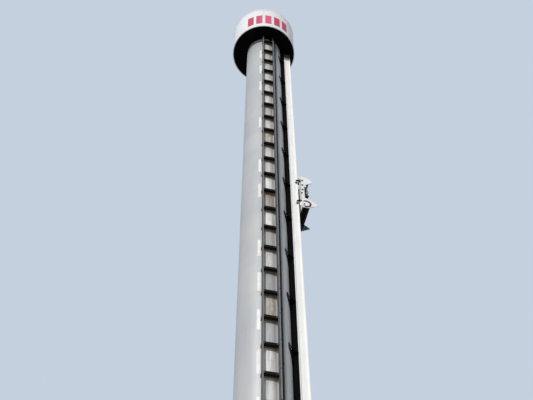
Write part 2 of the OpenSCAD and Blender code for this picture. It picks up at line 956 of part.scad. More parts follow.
// Shoulder restraint: two bent tubes from the shaft, joined by a bar and a plate at the chest
module restraint() {
    bend_x = shaft_x + bar_out;
    down_x = bend_x + bar_bend;
    low = restraint_z - bar_bend - bar_drop;
    for (side = [-1, 1])
        translate([0, side * bar_gauge / 2, 0]) {
            translate([shaft_x, 0, restraint_z]) rotate([0, 90, 0]) cylinder(d = bar_d, h = bar_out);
            translate([bend_x, 0, restraint_z - bar_bend])
                rotate([90, 0, 0])
                    rotate_extrude(angle = 90) translate([bar_bend, 0]) circle(d = bar_d);
            translate([down_x, 0, low]) cylinder(d = bar_d, h = bar_drop);
        }
    translate([down_x, 0, low + bar_d / 2]) y_cylinder(bar_d, bar_gauge + bar_d);
    translate([down_x - chest_t / 2, -bar_gauge / 2, low + bar_d / 2]) cube([chest_t, bar_gauge, chest_h]);
}

module restraints() {
    color("gray") {
        translate([shaft_x, 0, restraint_z]) y_cylinder(shaft_d, 2 * (end_y + end_t));
        each_seat() restraint();
    }
}

base_plate();
column_section(0);  // column_section_1
column_section(1);  // column_section_2
column_section(2);  // column_section_3
column_section(3);  // column_section_4
column_section(4);  // column_section_5
column_section(5);  // column_section_6
column_section(6);  // column_section_7
column_section(7);  // column_section_8
column_section(8);  // column_section_9
head_band();
head_soffit();
head_roof();
head_ribs();
front_rail(-1);  // front_track_left_rail
front_rail(1);  // front_track_right_rail
front_track_frames();
cable_duct();
drop_rail(-1);  // drop_rail_near
drop_rail(1);  // drop_rail_far
drop_track_brackets();
drop_track_backing();
brake_fin();
landing_frame();
landing_buffers();
carriage_plate(-1);  // carriage_near_plate
carriage_plate(1);  // carriage_far_plate
carriage_tubes();
wheel_cheeks();
wheel_set(wheel_levels[1]);  // upper_wheels
wheel_set(wheel_levels[0]);  // lower_wheels
brake_magnets();
end_frame(-1);  // near_end_frame
end_frame(1);  // far_end_frame
hood();
back_panel();
foot_fairing();
under_tray();
seat_beam();
seat_backs();
seat_pans();
seat_bolsters();
headrests();
shaft_brackets();
restraints();
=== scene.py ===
from math import atan2, cos, degrees, exp, pi, radians, sin, sqrt

import bmesh
import bpy
from mathutils import Matrix, Vector


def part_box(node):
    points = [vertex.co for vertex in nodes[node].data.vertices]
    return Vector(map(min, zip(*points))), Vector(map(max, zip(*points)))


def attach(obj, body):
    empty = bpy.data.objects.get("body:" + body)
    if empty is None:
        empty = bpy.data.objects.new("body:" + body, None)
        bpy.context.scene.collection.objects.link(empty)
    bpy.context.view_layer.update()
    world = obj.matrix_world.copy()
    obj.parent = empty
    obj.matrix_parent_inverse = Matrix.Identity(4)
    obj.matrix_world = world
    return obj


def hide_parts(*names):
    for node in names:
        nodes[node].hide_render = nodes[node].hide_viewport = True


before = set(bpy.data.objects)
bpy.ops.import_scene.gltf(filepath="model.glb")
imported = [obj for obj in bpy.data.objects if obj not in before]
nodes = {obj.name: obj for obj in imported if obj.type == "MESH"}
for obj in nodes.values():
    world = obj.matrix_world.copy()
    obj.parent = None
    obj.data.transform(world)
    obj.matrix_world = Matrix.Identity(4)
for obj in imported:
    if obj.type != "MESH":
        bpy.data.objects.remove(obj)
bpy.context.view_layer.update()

# Drop tower ride at 1:10: a round column with a drum head and a front track, and a gondola on its
# rails. Metres throughout. The front track faces -Y, the gondola's track faces +X.


def rgb(red, green, blue):
    # A colour as it looks on screen, 0 to 255, made linear for the shader
    def linear(v):
        v = v / 255
        return v / 12.92 if v <= 0.04045 else ((v + 0.055) / 1.055) ** 2.4
    return (linear(red), linear(green), linear(blue), 1.0)


# Places read from the frame
def readSizes():
    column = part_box("column_section_1")
    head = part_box("head_band")
    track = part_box("front_track_left_rail")
    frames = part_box("front_track_frames")
    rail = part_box("drop_rail_near")
    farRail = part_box("drop_rail_far")
    return {
        "columnRadius": column[1].x,
        "sectionLow": column[0].z,
        "sectionHeight": column[1].z - column[0].z,
        "headRadius": head[1].x,
        "headLow": head[0].z,
        "headHigh": head[1].z,
        "soffitLow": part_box("head_soffit")[0].z,
        "trackFront": track[0].y,
        "trackBack": track[1].y,
        "trackHalf": -track[0].x,
        "trackRailWide": track[1].x - track[0].x,
        "framesLow": frames[0].z,
        "framesHigh": frames[1].z,
        "railBack": rail[0].x,
        "railFront": rail[1].x,
        "railY": (farRail[0].y + farRail[1].y) / 2,
        "railWide": farRail[1].y - farRail[0].y,
        "railLow": rail[0].z,
    }


size = readSizes()
plateHeight = size["sectionHeight"] / 3
framePitch = 0.3385
frameThick = 0.030
frameCount = round((size["framesHigh"] - size["framesLow"] - frameThick) / framePitch) + 1
bracketPitch = 2 * framePitch
bracketLow = size["framesLow"] + 1.5 * framePitch
bracketCount = 16
print("sizes read from the frame")


# Camera of the photograph: a visitor's eye at the foot of the ride, looking up
photoCamera = {
    "place": (-1.174, -5.199, 0.16),
    "pitchUp": 53.0,
    "heading": -13.12,
    "roll": -0.25,
    "lens": 49.10,
    "sensor": 36.0,
    "sees": 200.0,
}


def makeCamera(spec):
    data = bpy.data.cameras.new("photoCamera")
    data.lens = spec["lens"]
    data.sensor_width = spec["sensor"]
    data.clip_end = spec["sees"]
    data.dof.use_dof = False
    camera = bpy.data.objects.new("photoCamera", data)
    bpy.context.scene.collection.objects.link(camera)
    turn = Matrix.Rotation(radians(spec["heading"]), 4, "Z")
    tilt = Matrix.Rotation(radians(90 + spec["pitchUp"]), 4, "X")
    roll = Matrix.Rotation(radians(spec["roll"]), 4, "Z")
    camera.matrix_world = Matrix.Translation(spec["place"]) @ turn @ tilt @ roll
    bpy.context.scene.camera = camera


makeCamera(photoCamera)


# Soft studio light, a pale floor and a pale backdrop
studio = {
    "worldLight": 0.28,
    "backdrop": rgb(196, 208, 222),
    "floor": rgb(246, 247, 248),
    "floorUnseen": rgb(176, 178, 180),
    "floorHalf": 80.0,
    "floorRoughness": 0.9,
    "sunStrength": 2.42,
    "sunSpread": 1.0,
    "sunFrom": (-3.1, -4.6, 2.2),
    "fillStrength": 1.3,
    "fillFrom": (3.0, 4.5, 2.0),
}


def makeStudio(spec):
    world = bpy.data.worlds.new("studioWorld")
    bpy.context.scene.world = world
    world.use_nodes = True
    tree = world.node_tree
    tree.nodes.clear()
    light = tree.nodes.new("ShaderNodeBackground")
    light.inputs["Color"].default_value = (1, 1, 1, 1)
    light.inputs["Strength"].default_value = spec["worldLight"]
    seen = tree.nodes.new("ShaderNodeBackground")
    seen.inputs["Color"].default_value = spec["backdrop"]
    seen.inputs["Strength"].default_value = 1.0
    path = tree.nodes.new("ShaderNodeLightPath")
    either = tree.nodes.new("ShaderNodeMath")
    either.operation = "MAXIMUM"
    anyRay = tree.nodes.new("ShaderNodeMath")
    anyRay.operation = "MAXIMUM"
    mix = tree.nodes.new("ShaderNodeMixShader")
    out = tree.nodes.new("ShaderNodeOutputWorld")
    link = tree.links.new
    link(path.outputs["Is Camera Ray"], either.inputs[0])
    link(path.outputs["Is Glossy Ray"], either.inputs[1])
    link(either.outputs[0], anyRay.inputs[0])
    link(path.outputs["Is Transmission Ray"], anyRay.inputs[1])
    link(anyRay.outputs[0], mix.inputs[0])
    link(light.outputs[0], mix.inputs[1])
    link(seen.outputs[0], mix.inputs[2])
    link(mix.outputs[0], out.inputs["Surface"])
    for name, strength, place in (
        ("keySun", spec["sunStrength"], spec["sunFrom"]),
        ("fillSun", spec["fillStrength"], spec["fillFrom"]),
    ):
        lamp = bpy.data.lights.new(name, "SUN")
        lamp.energy = strength
        lamp.angle = radians(spec["sunSpread"])
        holder = bpy.data.objects.new(name, lamp)
        bpy.context.scene.collection.objects.link(holder)
        holder.rotation_mode = "QUATERNION"
        holder.rotation_quaternion = (-Vector(place)).to_track_quat("-Z", "Y")
    half = spec["floorHalf"]
    corners = [(-half, -half, 0), (half, -half, 0), (half, half, 0), (-half, half, 0)]
    mesh = bpy.data.meshes.new("floor")
    mesh.from_pydata(corners, [], [(0, 1, 2, 3)])
    floor = bpy.data.objects.new("floor", mesh)
    bpy.context.scene.collection.objects.link(floor)
    finish = bpy.data.materials.new("floorPale")
    finish.use_nodes = True
    shader = finish.node_tree.nodes["Principled BSDF"]
    shader.inputs["Roughness"].default_value = spec["floorRoughness"]
    # pale to the camera, and no brighter than a yard's ground to the object above it
    seenBy = finish.node_tree.nodes.new("ShaderNodeLightPath")
    tint = finish.node_tree.nodes.new("ShaderNodeMix")
    tint.data_type = "RGBA"
    tint.inputs[6].default_value = spec["floorUnseen"]
    tint.inputs[7].default_value = spec["floor"]
    finish.node_tree.links.new(seenBy.outputs["Is Camera Ray"], tint.inputs["Factor"])
    finish.node_tree.links.new(tint.outputs[2], shader.inputs["Base Color"])
    mesh.materials.append(finish)
    bpy.context.scene.view_settings.view_transform = "Standard"


makeStudio(studio)
print("camera and studio made")


# Material building blocks
def newFinish(name, roughness, metallic=0.0, coat=0.0, shine=0.5):
    finish = bpy.data.materials.new(name)
    finish.use_nodes = True
    tree = finish.node_tree
    shader = tree.nodes["Principled BSDF"]
    shader.inputs["Roughness"].default_value = roughness
    shader.inputs["Metallic"].default_value = metallic
    shader.inputs["Coat Weight"].default_value = coat
    shader.inputs["Specular IOR Level"].default_value = shine
    coords = tree.nodes.new("ShaderNodeTexCoord")
    return finish, tree, shader, coords.outputs["Object"]


def scaled(tree, coords, scale):
    mapping = tree.nodes.new("ShaderNodeMapping")
    mapping.inputs["Scale"].default_value = scale
    tree.links.new(coords, mapping.inputs["Vector"])
    return mapping.outputs["Vector"]


def noise(tree, coords, scale, detail=4.0, rough=0.55):
    node = tree.nodes.new("ShaderNodeTexNoise")
    node.inputs["Scale"].default_value = scale
    node.inputs["Detail"].default_value = detail
    node.inputs["Roughness"].default_value = rough
    tree.links.new(coords, node.inputs["Vector"])
    return node.outputs["Fac"]


def spread(tree, value, low, high, toLow, toHigh):
    node = tree.nodes.new("ShaderNodeMapRange")
    node.inputs["From Min"].default_value = low
    node.inputs["From Max"].default_value = high
    node.inputs["To Min"].default_value = toLow
    node.inputs["To Max"].default_value = toHigh
    tree.links.new(value, node.inputs["Value"])
    return node.outputs["Result"]


def figure(tree, operation, first, second=None):
    node = tree.nodes.new("ShaderNodeMath")
    node.operation = operation
    for slotIndex, value in ((0, first), (1, second)):
        if value is None:
            continue
        if isinstance(value, (int, float)):
            node.inputs[slotIndex].default_value = value
        else:
            tree.links.new(value, node.inputs[slotIndex])
    return node.outputs[0]


def blendColour(tree, amount, first, second):
    node = tree.nodes.new("ShaderNodeMix")
    node.data_type = "RGBA"
    if isinstance(amount, (int, float)):
        node.inputs["Factor"].default_value = amount
    else:
        tree.links.new(amount, node.inputs["Factor"])
    for socket, value in ((node.inputs[6], first), (node.inputs[7], second)):
        if isinstance(value, tuple):
            socket.default_value = value
        else:
            tree.links.new(value, socket)
    return node.outputs[2]


def addBump(tree, shader, height, strength, distance):
    bump = tree.nodes.new("ShaderNodeBump")
    bump.inputs["Strength"].default_value = strength
    bump.inputs["Distance"].default_value = distance
    tree.links.new(height, bump.inputs["Height"])
    tree.links.new(bump.outputs["Normal"], shader.inputs["Normal"])


# Weathered paint: streaks run down it, and dirt and small specks lie on it. Each pair says where
# a noise starts and ends to show. A paint has its colour, its second colour and its dirt's colour,
# the scales of its streaks, clouds and specks, and the strengths of its streaks and specks.
weathering = {
    "cloudShows": (0.35, 0.68),
    "streakShows": (0.52, 0.78),
    "speckShows": (0.66, 0.74),
    "wornShows": (0.3, 0.6),
    "dullShows": (0.3, 0.8),
    "glossier": 0.06,
    "duller": 0.16,
    "bump": 0.15, "bumpDepth": 0.0006,
}


def weatheredPaint(name, spec):
    coat, shine = spec.get("coat", 0.0), spec.get("shine", 0.5)
    finish, tree, shader, coords = newFinish(name, spec["roughness"], coat=coat, shine=shine)
    drawn = scaled(tree, coords, (1, 1, spec.get("streakStretch", 0.08)))
    streakScale, cloudScale, speckScale = spec["scales"]
    streak = noise(tree, drawn, streakScale, 5)
    cloud = noise(tree, coords, cloudScale, 3)
    speck = noise(tree, coords, speckScale, 2, 0.7)
    first, second, dirt = [rgb(*shade) for shade in spec["colours"]]
    clouds = spread(tree, cloud, *weathering["cloudShows"], 0, 1)
    colour = blendColour(tree, clouds, first, second)
    keys = ("streakShows", "speckShows")
    for value, key, strength in zip((streak, speck), keys, spec["strengths"]):
        amount = spread(tree, value, *weathering[key], 0, strength)
        colour = blendColour(tree, amount, colour, dirt)
    # a zone blends another colour between two values along one axis; some zones are painted
    # highlight or shadow
    for zone in spec.get("zones", ()):
        axes = tree.nodes.new("ShaderNodeSeparateXYZ")
        tree.links.new(coords, axes.inputs[0])
        along = axes.outputs[zone["axis"]]
        start, end, soft = zone["start"], zone["end"], zone["soft"]
        amount = spread(tree, along, start, start + soft, 0, zone["amount"])
        amount = figure(tree, "MULTIPLY", amount, spread(tree, along, end, end + soft, 1, 0))
        worn = spread(tree, speck, *weathering["wornShows"], 1, zone["worn"])
        amount = figure(tree, "MULTIPLY", amount, worn)
        colour = blendColour(tree, amount, colour, zone["colour"])
    tree.links.new(colour, shader.inputs["Base Color"])
    glossy = spec["roughness"] - weathering["glossier"]
    dull = min(1.0, spec["roughness"] + weathering["duller"])
    gloss = spread(tree, streak, *weathering["dullShows"], glossy, dull)
    tree.links.new(gloss, shader.inputs["Roughness"])
    addBump(tree, shader, speck, spec.get("bump", weathering["bump"]), weathering["bumpDepth"])
    return finish


paints = {
    "headWhite": {
        "colours": ((246, 246, 247), (236, 237, 240), (190, 186, 182)), "roughness": 0.42,
        "scales": (22, 3, 120), "strengths": (0.35, 0.25),
    },
    # the soffit's near-black is painted shade under the drum
    "soffitShadeBlack": {
        "colours": ((6, 6, 7), (11, 10, 10), (22, 18, 14)), "roughness": 0.85,
        "scales": (9, 6, 90), "strengths": (0.3, 0.2), "streakStretch": 1.0, "shine": 0.06,
    },
    "roofGrey": {
        "colours": ((126, 129, 132), (108, 111, 114), (78, 76, 72)), "roughness": 0.75,
        "scales": (5, 4, 140), "strengths": (0.5, 0.4), "streakStretch": 1.0,
    },
    "trackPaint": {
        "colours": ((94, 94, 94), (76, 76, 76), (48, 42, 36)), "roughness": 0.5,
        "scales": (40, 14, 190), "strengths": (0.6, 0.5), "shine": 0.3,
        # painted highlight: a pale strip down the inner half of the left rail's front face, as of
        # lit column beside the rail
        "zones": [{
            "axis": 0, "start": -0.0795, "end": -0.05, "soft": 0.001, "amount": 0.9, "worn": 0.7,
            "colour": rgb(158, 157, 154),
        }],
    },
    # the cross frames' near-black partly stands in for the shade on their undersides
    "frameDark": {
        "colours": ((18, 16, 15), (10, 9, 9), (64, 46, 31)), "roughness": 0.7,
        "scales": (28, 18, 160), "strengths": (0.5, 0.45), "streakStretch": 0.5, "shine": 0.12,
        "zones": [{
            "axis": 1, "start": -0.294, "end": -0.20, "soft": 0.012, "amount": 0.85, "worn": 0.55,
            "colour": rgb(150, 132, 108),
        }],
    },
    "ductGrey": {
        "colours": ((246, 246, 246), (236, 237, 239), (130, 124, 116)), "roughness": 0.5,
        "scales": (30, 10, 160), "strengths": (0.3, 0.25),
    },
    "railWhite": {
        "colours": ((252, 252, 250), (247, 247, 244), (214, 208, 196)), "roughness": 0.36,
        "scales": (30, 6, 150), "strengths": (0.25, 0.15),
        # painted shadow: the top 0.14 of the drop rails under the soffit is painted near-black as
        # the drum's shadow
        "zones": [{
            "axis": 2, "start": size["soffitLow"] - 0.14, "end": size["soffitLow"], "soft": 0.01,
            "amount": 0.94, "worn": 0.9, "colour": rgb(20, 18, 18),
        }],
    },
    # near-black paint; on the drop track's brackets and backing it also stands in for their shade
    "bracketBlack": {
        "colours": ((7, 7, 8), (12, 11, 12), (28, 24, 20)), "roughness": 0.8,
        "scales": (30, 12, 150), "strengths": (0.3, 0.25), "shine": 0.05,
    },
    "gondolaWhite": {
        "colours": ((247, 247, 245), (238, 238, 237), (190, 184, 176)), "roughness": 0.28,
        "scales": (50, 9, 260), "strengths": (0.28, 0.2), "coat": 0.25,
    },
    "carriagePaint": {
        "colours": ((226, 223, 217), (206, 202, 195), (86, 76, 64)), "roughness": 0.5,
        "scales": (60, 16, 240), "strengths": (0.55, 0.45),
    },
    # the tray's near-black is painted shade under the gondola
    "trayShadeDark": {
        "colours": ((10, 10, 12), (17, 18, 21), (38, 34, 31)), "roughness": 0.72,
        "scales": (24, 12, 180), "strengths": (0.3, 0.3), "streakStretch": 1.0, "shine": 0.12,
    },
    "ringRed": {
        "colours": ((70, 12, 17), (52, 8, 12), (36, 14, 12)), "roughness": 0.35,
        "scales": (60, 20, 240), "strengths": (0.3, 0.2),
    },
    "blockRed": {
        "colours": ((206, 58, 84), (188, 44, 68), (150, 60, 70)), "roughness": 0.4,
        "scales": (30, 10, 150), "strengths": (0.3, 0.2),
        "zones": [{
            "axis": 0, "start": -0.22, "end": 0.02, "soft": 0.07, "amount": 0.75, "worn": 0.8,
            "colour": rgb(238, 96, 134),
        }],
    },
    "barWhite": {
        "colours": ((246, 246, 244), (232, 230, 226), (190, 184, 174)), "roughness": 0.4,
        "scales": (30, 10, 150), "strengths": (0.3, 0.2),
    },
    "columnSeam": {
        "colours": ((190, 191, 193), (178, 180, 184), (150, 146, 140)), "roughness": 0.5,
        "scales": (40, 8, 160), "strengths": (0.5, 0.4),
    },
    # near-black painted shade under the canopy
    "canopyShadeDark": {
        "colours": ((15, 15, 18), (24, 25, 29), (42, 39, 37)), "roughness": 0.7,
        "scales": (40, 20, 260), "strengths": (0.3, 0.3), "streakStretch": 1.0, "shine": 0.15,
    },
    # blue-grey painted shade, on the fairing's skirt and inside the end frames' toes
    "shadeBlueGrey": {
        "colours": ((46, 53, 68), (37, 43, 56), (34, 35, 40)), "roughness": 0.5,
        "scales": (50, 16, 240), "strengths": (0.35, 0.3),
    },
    "sleeveGrey": {
        "colours": ((168, 170, 178), (148, 150, 158), (98, 94, 92)), "roughness": 0.62,
        "scales": (80, 30, 600), "strengths": (0.3, 0.35), "bump": 0.3,
    },
    "restraintGrey": {
        "colours": ((112, 116, 122), (96, 100, 106), (48, 46, 44)), "roughness": 0.4,
        "scales": (60, 20, 260), "strengths": (0.3, 0.3),
    },
}


# Bare or galvanised steel, with crystal-like patches
steelWear = {
    "patchShows": (0.0, 0.6),
    "grimeShows": (0.5, 0.75), "grime": 0.6,
    "dullShows": (0.3, 0.8),
    "duller": 0.25,
    "bump": 0.12, "bumpDepth": 0.0005,
}


def bareSteel(name, spec):
    finish, tree, shader, coords = newFinish(name, spec["roughness"], spec["metallic"])
    patches = tree.nodes.new("ShaderNodeTexVoronoi")
    patches.inputs["Scale"].default_value = spec["patchScale"]
    tree.links.new(coords, patches.inputs["Vector"])
    cell = spread(tree, patches.outputs["Distance"], *steelWear["patchShows"], 0, 1)
    grime = noise(tree, coords, spec["grimeScale"], 5)
    colour = blendColour(tree, cell, spec["colour"], spec["second"])
    dirty = spread(tree, grime, *steelWear["grimeShows"], 0, steelWear["grime"])
    colour = blendColour(tree, dirty, colour, spec["dirt"])
    tree.links.new(colour, shader.inputs["Base Color"])
    dull = spec["roughness"] + steelWear["duller"]
    gloss = spread(tree, grime, *steelWear["dullShows"], spec["roughness"], dull)
    tree.links.new(gloss, shader.inputs["Roughness"])
    addBump(tree, shader, grime, steelWear["bump"], steelWear["bumpDepth"])
    return finish


steels = {
    "galvanised": {
        "colour": rgb(168, 170, 172), "second": rgb(146, 149, 152), "dirt": rgb(98, 92, 84),
        "roughness": 0.45, "metallic": 0.55, "patchScale": 60, "grimeScale": 9,
    },
    "brakeMetal": {
        "colour": rgb(190, 184, 172), "second": rgb(168, 162, 150), "dirt": rgb(96, 88, 76),
        "roughness": 0.32, "metallic": 0.9, "patchScale": 25, "grimeScale": 20,
    },
}


# Column paint: rolled plates of slightly different greys, a pale strip behind the front track whose
# fields between the cross frames differ and are painted darker towards their sides as shade, rust
# washes under the frames, a dark band behind the conduit that is painted shade and dirt, and
# streaks. Pairs say where a value or a noise starts and ends to show.
columnFinish = {
    "grey": rgb(196, 196, 194),
    "greyCool": rgb(186, 188, 191),
    "greyDark": rgb(146, 147, 148),
    "pale": rgb(250, 249, 246),
    "fieldGrey": rgb(142, 142, 142),
    "tan": rgb(176, 146, 108),
    "tanDeep": rgb(150, 128, 92),
    "ductShadeDirt": rgb(27, 30, 36),
    "roughness": 0.45, "metallic": 0.1,
    "cloudScale": 1.6, "cloudShows": (0.38, 0.64),
    "streakScale": 26, "streakStretch": 0.05, "streakShows": (0.54, 0.8), "streaks": 0.35,
    "plateShade": 0.12, "seamWidth": 0.008, "seamShade": 0.12,
    "stripEdge": (0.024, 0.018), "strip": 0.98, "fieldShade": 0.75,
    "rubbedStretch": 0.12, "rubbedScale": 42, "rubbedShows": (0.44, 0.64), "rubbed": 0.45,
    "litMiddleShift": 0.012, "edgeShows": (0.030, 0.062), "edge": 0.60,
    "shadeDirtScale": 1.3, "shadeDirtSway": 0.004, "shadeDirtLean": 0.001,
    "shadeDirtLeft": (0.121, 0.124), "shadeDirtRight": (0.147, 0.151), "dirt": 0.45,
    "washBelow": (0.45, 1.0), "washToRight": (-0.04, 0.05), "washLeft": 0.15,
    "washStretch": 0.18, "washScale": 34, "washShows": (0.44, 0.62), "wash": 0.7,
    "stainedFields": (14, 19, 23),
    "stainStretch": 0.22, "stainScale": 56, "stainShows": (0.36, 0.60), "stainLeast": 0.25,
    "stainToRight": (-0.05, 0.02), "stainLeft": 0.4, "stain": 0.8,
    "dullShows": (0.3, 0.8), "glossy": 0.34, "dull": 0.55,
    "bump": 0.1, "bumpDepth": 0.001,
}


def makeColumnPaint(name, spec):
    finish, tree, shader, coords = newFinish(name, spec["roughness"], spec["metallic"])

    def calc(operation, first, second=None):
        return figure(tree, operation, first, second)

    def times(first, second):
        return figure(tree, "MULTIPLY", first, second)

    def shows(value, bounds, low=0, high=1):
        return spread(tree, value, *bounds, low, high)

    def blend(amount, first, second):
        return blendColour(tree, amount, first, second)

    def drawn(stretch, scale, detail):
        return noise(tree, scaled(tree, coords, (1, 1, stretch)), scale, detail)

    def cellShade(value, most):
        # One random number from 0 to most for each whole step of the value
        shade = tree.nodes.new("ShaderNodeTexWhiteNoise")
        shade.noise_dimensions = "1D"
        tree.links.new(calc("FLOOR", value), shade.inputs["W"])
        return shows(shade.outputs["Value"], (0, 1), 0, most)

    axes = tree.nodes.new("ShaderNodeSeparateXYZ")
    tree.links.new(coords, axes.inputs[0])
    x, y, z = axes.outputs
    cloud = noise(tree, coords, spec["cloudScale"], 3)
    streak = drawn(spec["streakStretch"], spec["streakScale"], 6)
    colour = blend(shows(cloud, spec["cloudShows"]), spec["grey"], spec["greyCool"])
    # each rolled plate has its own shade
    courses = calc("DIVIDE", calc("SUBTRACT", z, size["sectionLow"]), plateHeight)
    colour = blend(cellShade(courses, spec["plateShade"]), colour, spec["greyDark"])
    # weld lines between the plates
    fromMiddle = calc("ABSOLUTE", calc("SUBTRACT", calc("FRACT", courses), 0.5))
    line = shows(fromMiddle, (0.5 - spec["seamWidth"], 0.5))
    colour = blend(times(line, spec["seamShade"]), colour, spec["greyDark"])
    streaks = shows(streak, spec["streakShows"], 0, spec["streaks"])
    colour = blend(streaks, colour, spec["greyDark"])
    # pale strip on the column between the front rails, field by field
    front = calc("LESS_THAN", y, 0)
    ends = [size["trackHalf"] - inset for inset in spec["stripEdge"]]
    strip = times(front, shows(calc("ABSOLUTE", x), ends, 1, 0))
    fields = calc("DIVIDE", calc("SUBTRACT", z, size["framesLow"]), framePitch)
    rubbed = drawn(spec["rubbedStretch"], spec["rubbedScale"], 5)
    # each field is painted darker towards its sides and lightest a little left of its middle:
    # painted shade and highlight, with some dirt
    offLitMiddle = calc("ABSOLUTE", calc("ADD", x, spec["litMiddleShift"]))
    fieldColour = blend(cellShade(fields, spec["fieldShade"]), spec["pale"], spec["fieldGrey"])
    for value, key in ((rubbed, "rubbed"), (offLitMiddle, "edge")):
        amount = shows(value, spec[key + "Shows"], 0, spec[key])
        fieldColour = blend(amount, fieldColour, spec["fieldGrey"])
    colour = blend(times(strip, spec["strip"]), colour, fieldColour)
    # a dark band runs down beside the cable duct, behind the conduit and to its right: painted
    # shade of the conduit, and dirt
    upAndDown = noise(tree, scaled(tree, coords, (0, 0, 1)), spec["shadeDirtScale"], 2)
    sway = shows(upAndDown, (0.3, 0.7), -spec["shadeDirtSway"], spec["shadeDirtSway"])
    leaning = calc("ADD", calc("ADD", x, times(z, spec["shadeDirtLean"])), sway)
    beside = times(shows(leaning, spec["shadeDirtLeft"]), shows(leaning, spec["shadeDirtRight"], 1, 0))
    colour = blend(times(times(beside, front), spec["dirt"]), colour, spec["ductShadeDirt"])
    # rust washes down from each cross frame, more on the right
    below = shows(calc("FRACT", fields), spec["washBelow"])
    toRight = shows(x, spec["washToRight"], spec["washLeft"], 1.0)
    wash = shows(drawn(spec["washStretch"], spec["washScale"], 4), spec["washShows"])
    washed = times(times(below, wash), times(strip, toRight))
    colour = blend(times(washed, spec["wash"]), colour, spec["tan"])
    # a few fields are stained all over
    fieldNumber = calc("FLOOR", fields)
    stained, *others = [calc("COMPARE", fieldNumber, number) for number in spec["stainedFields"]]
    for here in others:
        stained = calc("ADD", stained, here)
    patchy = drawn(spec["stainStretch"], spec["stainScale"], 5)
    patchy = shows(patchy, spec["stainShows"], spec["stainLeast"], 1)
    patchy = times(patchy, shows(x, spec["stainToRight"], spec["stainLeft"], spec["stain"]))
    colour = blend(times(times(stained, strip), patchy), colour, spec["tanDeep"])
    tree.links.new(colour, shader.inputs["Base Color"])
    gloss = shows(streak, spec["dullShows"], spec["glossy"], spec["dull"])
    tree.links.new(gloss, shader.inputs["Roughness"])
    addBump(tree, shader, line, spec["bump"], spec["bumpDepth"])
    return finish


# Rubber, plastic and tyres: fine grain, with worn patches
plasticWear = {
    "wornShows": (0.45, 0.7),
    "dullShows": (0.3, 0.8),
    "duller": 0.2,
    "bumpDepth": 0.0004,
}


def grainPlastic(name, spec):
    finish, tree, shader, coords = newFinish(name, spec["roughness"])
    grain = noise(tree, coords, spec["grainScale"], 2, 0.6)
    worn = noise(tree, coords, spec["wornScale"], 4)
    patches = spread(tree, worn, *plasticWear["wornShows"], 0, 1)
    colour = blendColour(tree, patches, spec["colour"], spec["second"])
    tree.links.new(colour, shader.inputs["Base Color"])
    dull = spec["roughness"] + plasticWear["duller"]
    gloss = spread(tree, worn, *plasticWear["dullShows"], spec["roughness"], dull)
    tree.links.new(gloss, shader.inputs["Roughness"])
    addBump(tree, shader, grain, spec["bump"], plasticWear["bumpDepth"])
    return finish


plastics = {
    "seatShell": {
        "colour": rgb(24, 23, 27), "second": rgb(38, 36, 42), "roughness": 0.45,
        "grainScale": 900, "wornScale": 30, "bump": 0.35,
    },
    "padFoam": {
        "colour": rgb(30, 29, 33), "second": rgb(52, 48, 52), "roughness": 0.7,
        "grainScale": 700, "wornScale": 50, "bump": 0.5,
    },
    "tyre": {
        "colour": rgb(34, 32, 30), "second": rgb(58, 52, 46), "roughness": 0.7,
        "grainScale": 500, "wornScale": 60, "bump": 0.4,
    },
    "conduitBlack": {
        "colour": rgb(20, 22, 26), "second": rgb(34, 36, 42), "roughness": 0.6,
        "grainScale": 400, "wornScale": 14, "bump": 0.2,
    },
    "bufferRubber": {
        "colour": rgb(22, 22, 23), "second": rgb(40, 39, 38), "roughness": 0.8,
        "grainScale": 500, "wornScale": 40, "bump": 0.4,
    },
}

finishes = {}
for name, spec in paints.items():
    finishes[name] = weatheredPaint(name, spec)
for name, spec in steels.items():
    finishes[name] = bareSteel(name, spec)
for name, spec in plastics.items():
    finishes[name] = grainPlastic(name, spec)
finishes["columnPaint"] = makeColumnPaint("columnPaint", columnFinish)

finishOfNode = {
    "base_plate": "galvanised",
    "head_band": "headWhite", "head_soffit": "soffitShadeBlack",
    "head_roof": "roofGrey", "head_ribs": "roofGrey",
    "front_track_left_rail": "trackPaint", "front_track_right_rail": "trackPaint",
    "front_track_frames": "frameDark", "cable_duct": "ductGrey",
    "drop_rail_near": "railWhite", "drop_rail_far": "railWhite",
    "drop_track_brackets": "bracketBlack", "drop_track_backing": "bracketBlack",
    "brake_fin": "brakeMetal",
    "landing_frame": "bracketBlack", "landing_buffers": "bufferRubber",
    "carriage_near_plate": "carriagePaint", "carriage_far_plate": "carriagePaint",
    "carriage_tubes": "carriagePaint", "wheel_cheeks": "bracketBlack",
    "upper_wheels": "tyre", "lower_wheels": "tyre",
    "brake_magnets": "bracketBlack",
    "near_end_frame": "gondolaWhite", "far_end_frame": "gondolaWhite", "hood": "gondolaWhite",
    "back_panel": "gondolaWhite", "foot_fairing": "gondolaWhite", "under_tray": "trayShadeDark",
    "seat_beam": "bracketBlack", "seat_backs": "seatShell", "seat_pans": "seatShell",
    "seat_bolsters": "seatShell", "headrests": "padFoam", "shaft_brackets": "restraintGrey",
    "restraints": "restraintGrey",
}


def dressNodes():
    for nodeName, cadObject in nodes.items():
        finishName = finishOfNode.get(nodeName, "columnPaint")
        cadObject.data.materials.clear()
        cadObject.data.materials.append(finishes[finishName])


dressNodes()
print("finishes made")


# Mesh building blocks. Each one adds to the bmesh that it is given.
def slab(bm, low, high, bevel=0.0, turn=None):
    made = bmesh.ops.create_cube(bm, size=1.0)["verts"]
    middle = [(a + b) / 2 for a, b in zip(low, high)]
    reach = [b - a for a, b in zip(low, high)]
    for vert in made:
        vert.co = Vector([m + c * r for m, c, r in zip(middle, vert.co, reach)])
    if bevel:
        edges = list(dict.fromkeys(edge for vert in made for edge in vert.link_edges))
        made = bmesh.ops.bevel(bm, geom=edges, offset=bevel, segments=2, affect="EDGES")["verts"]
    if turn is not None:
        bmesh.ops.transform(bm, matrix=turn, verts=made)


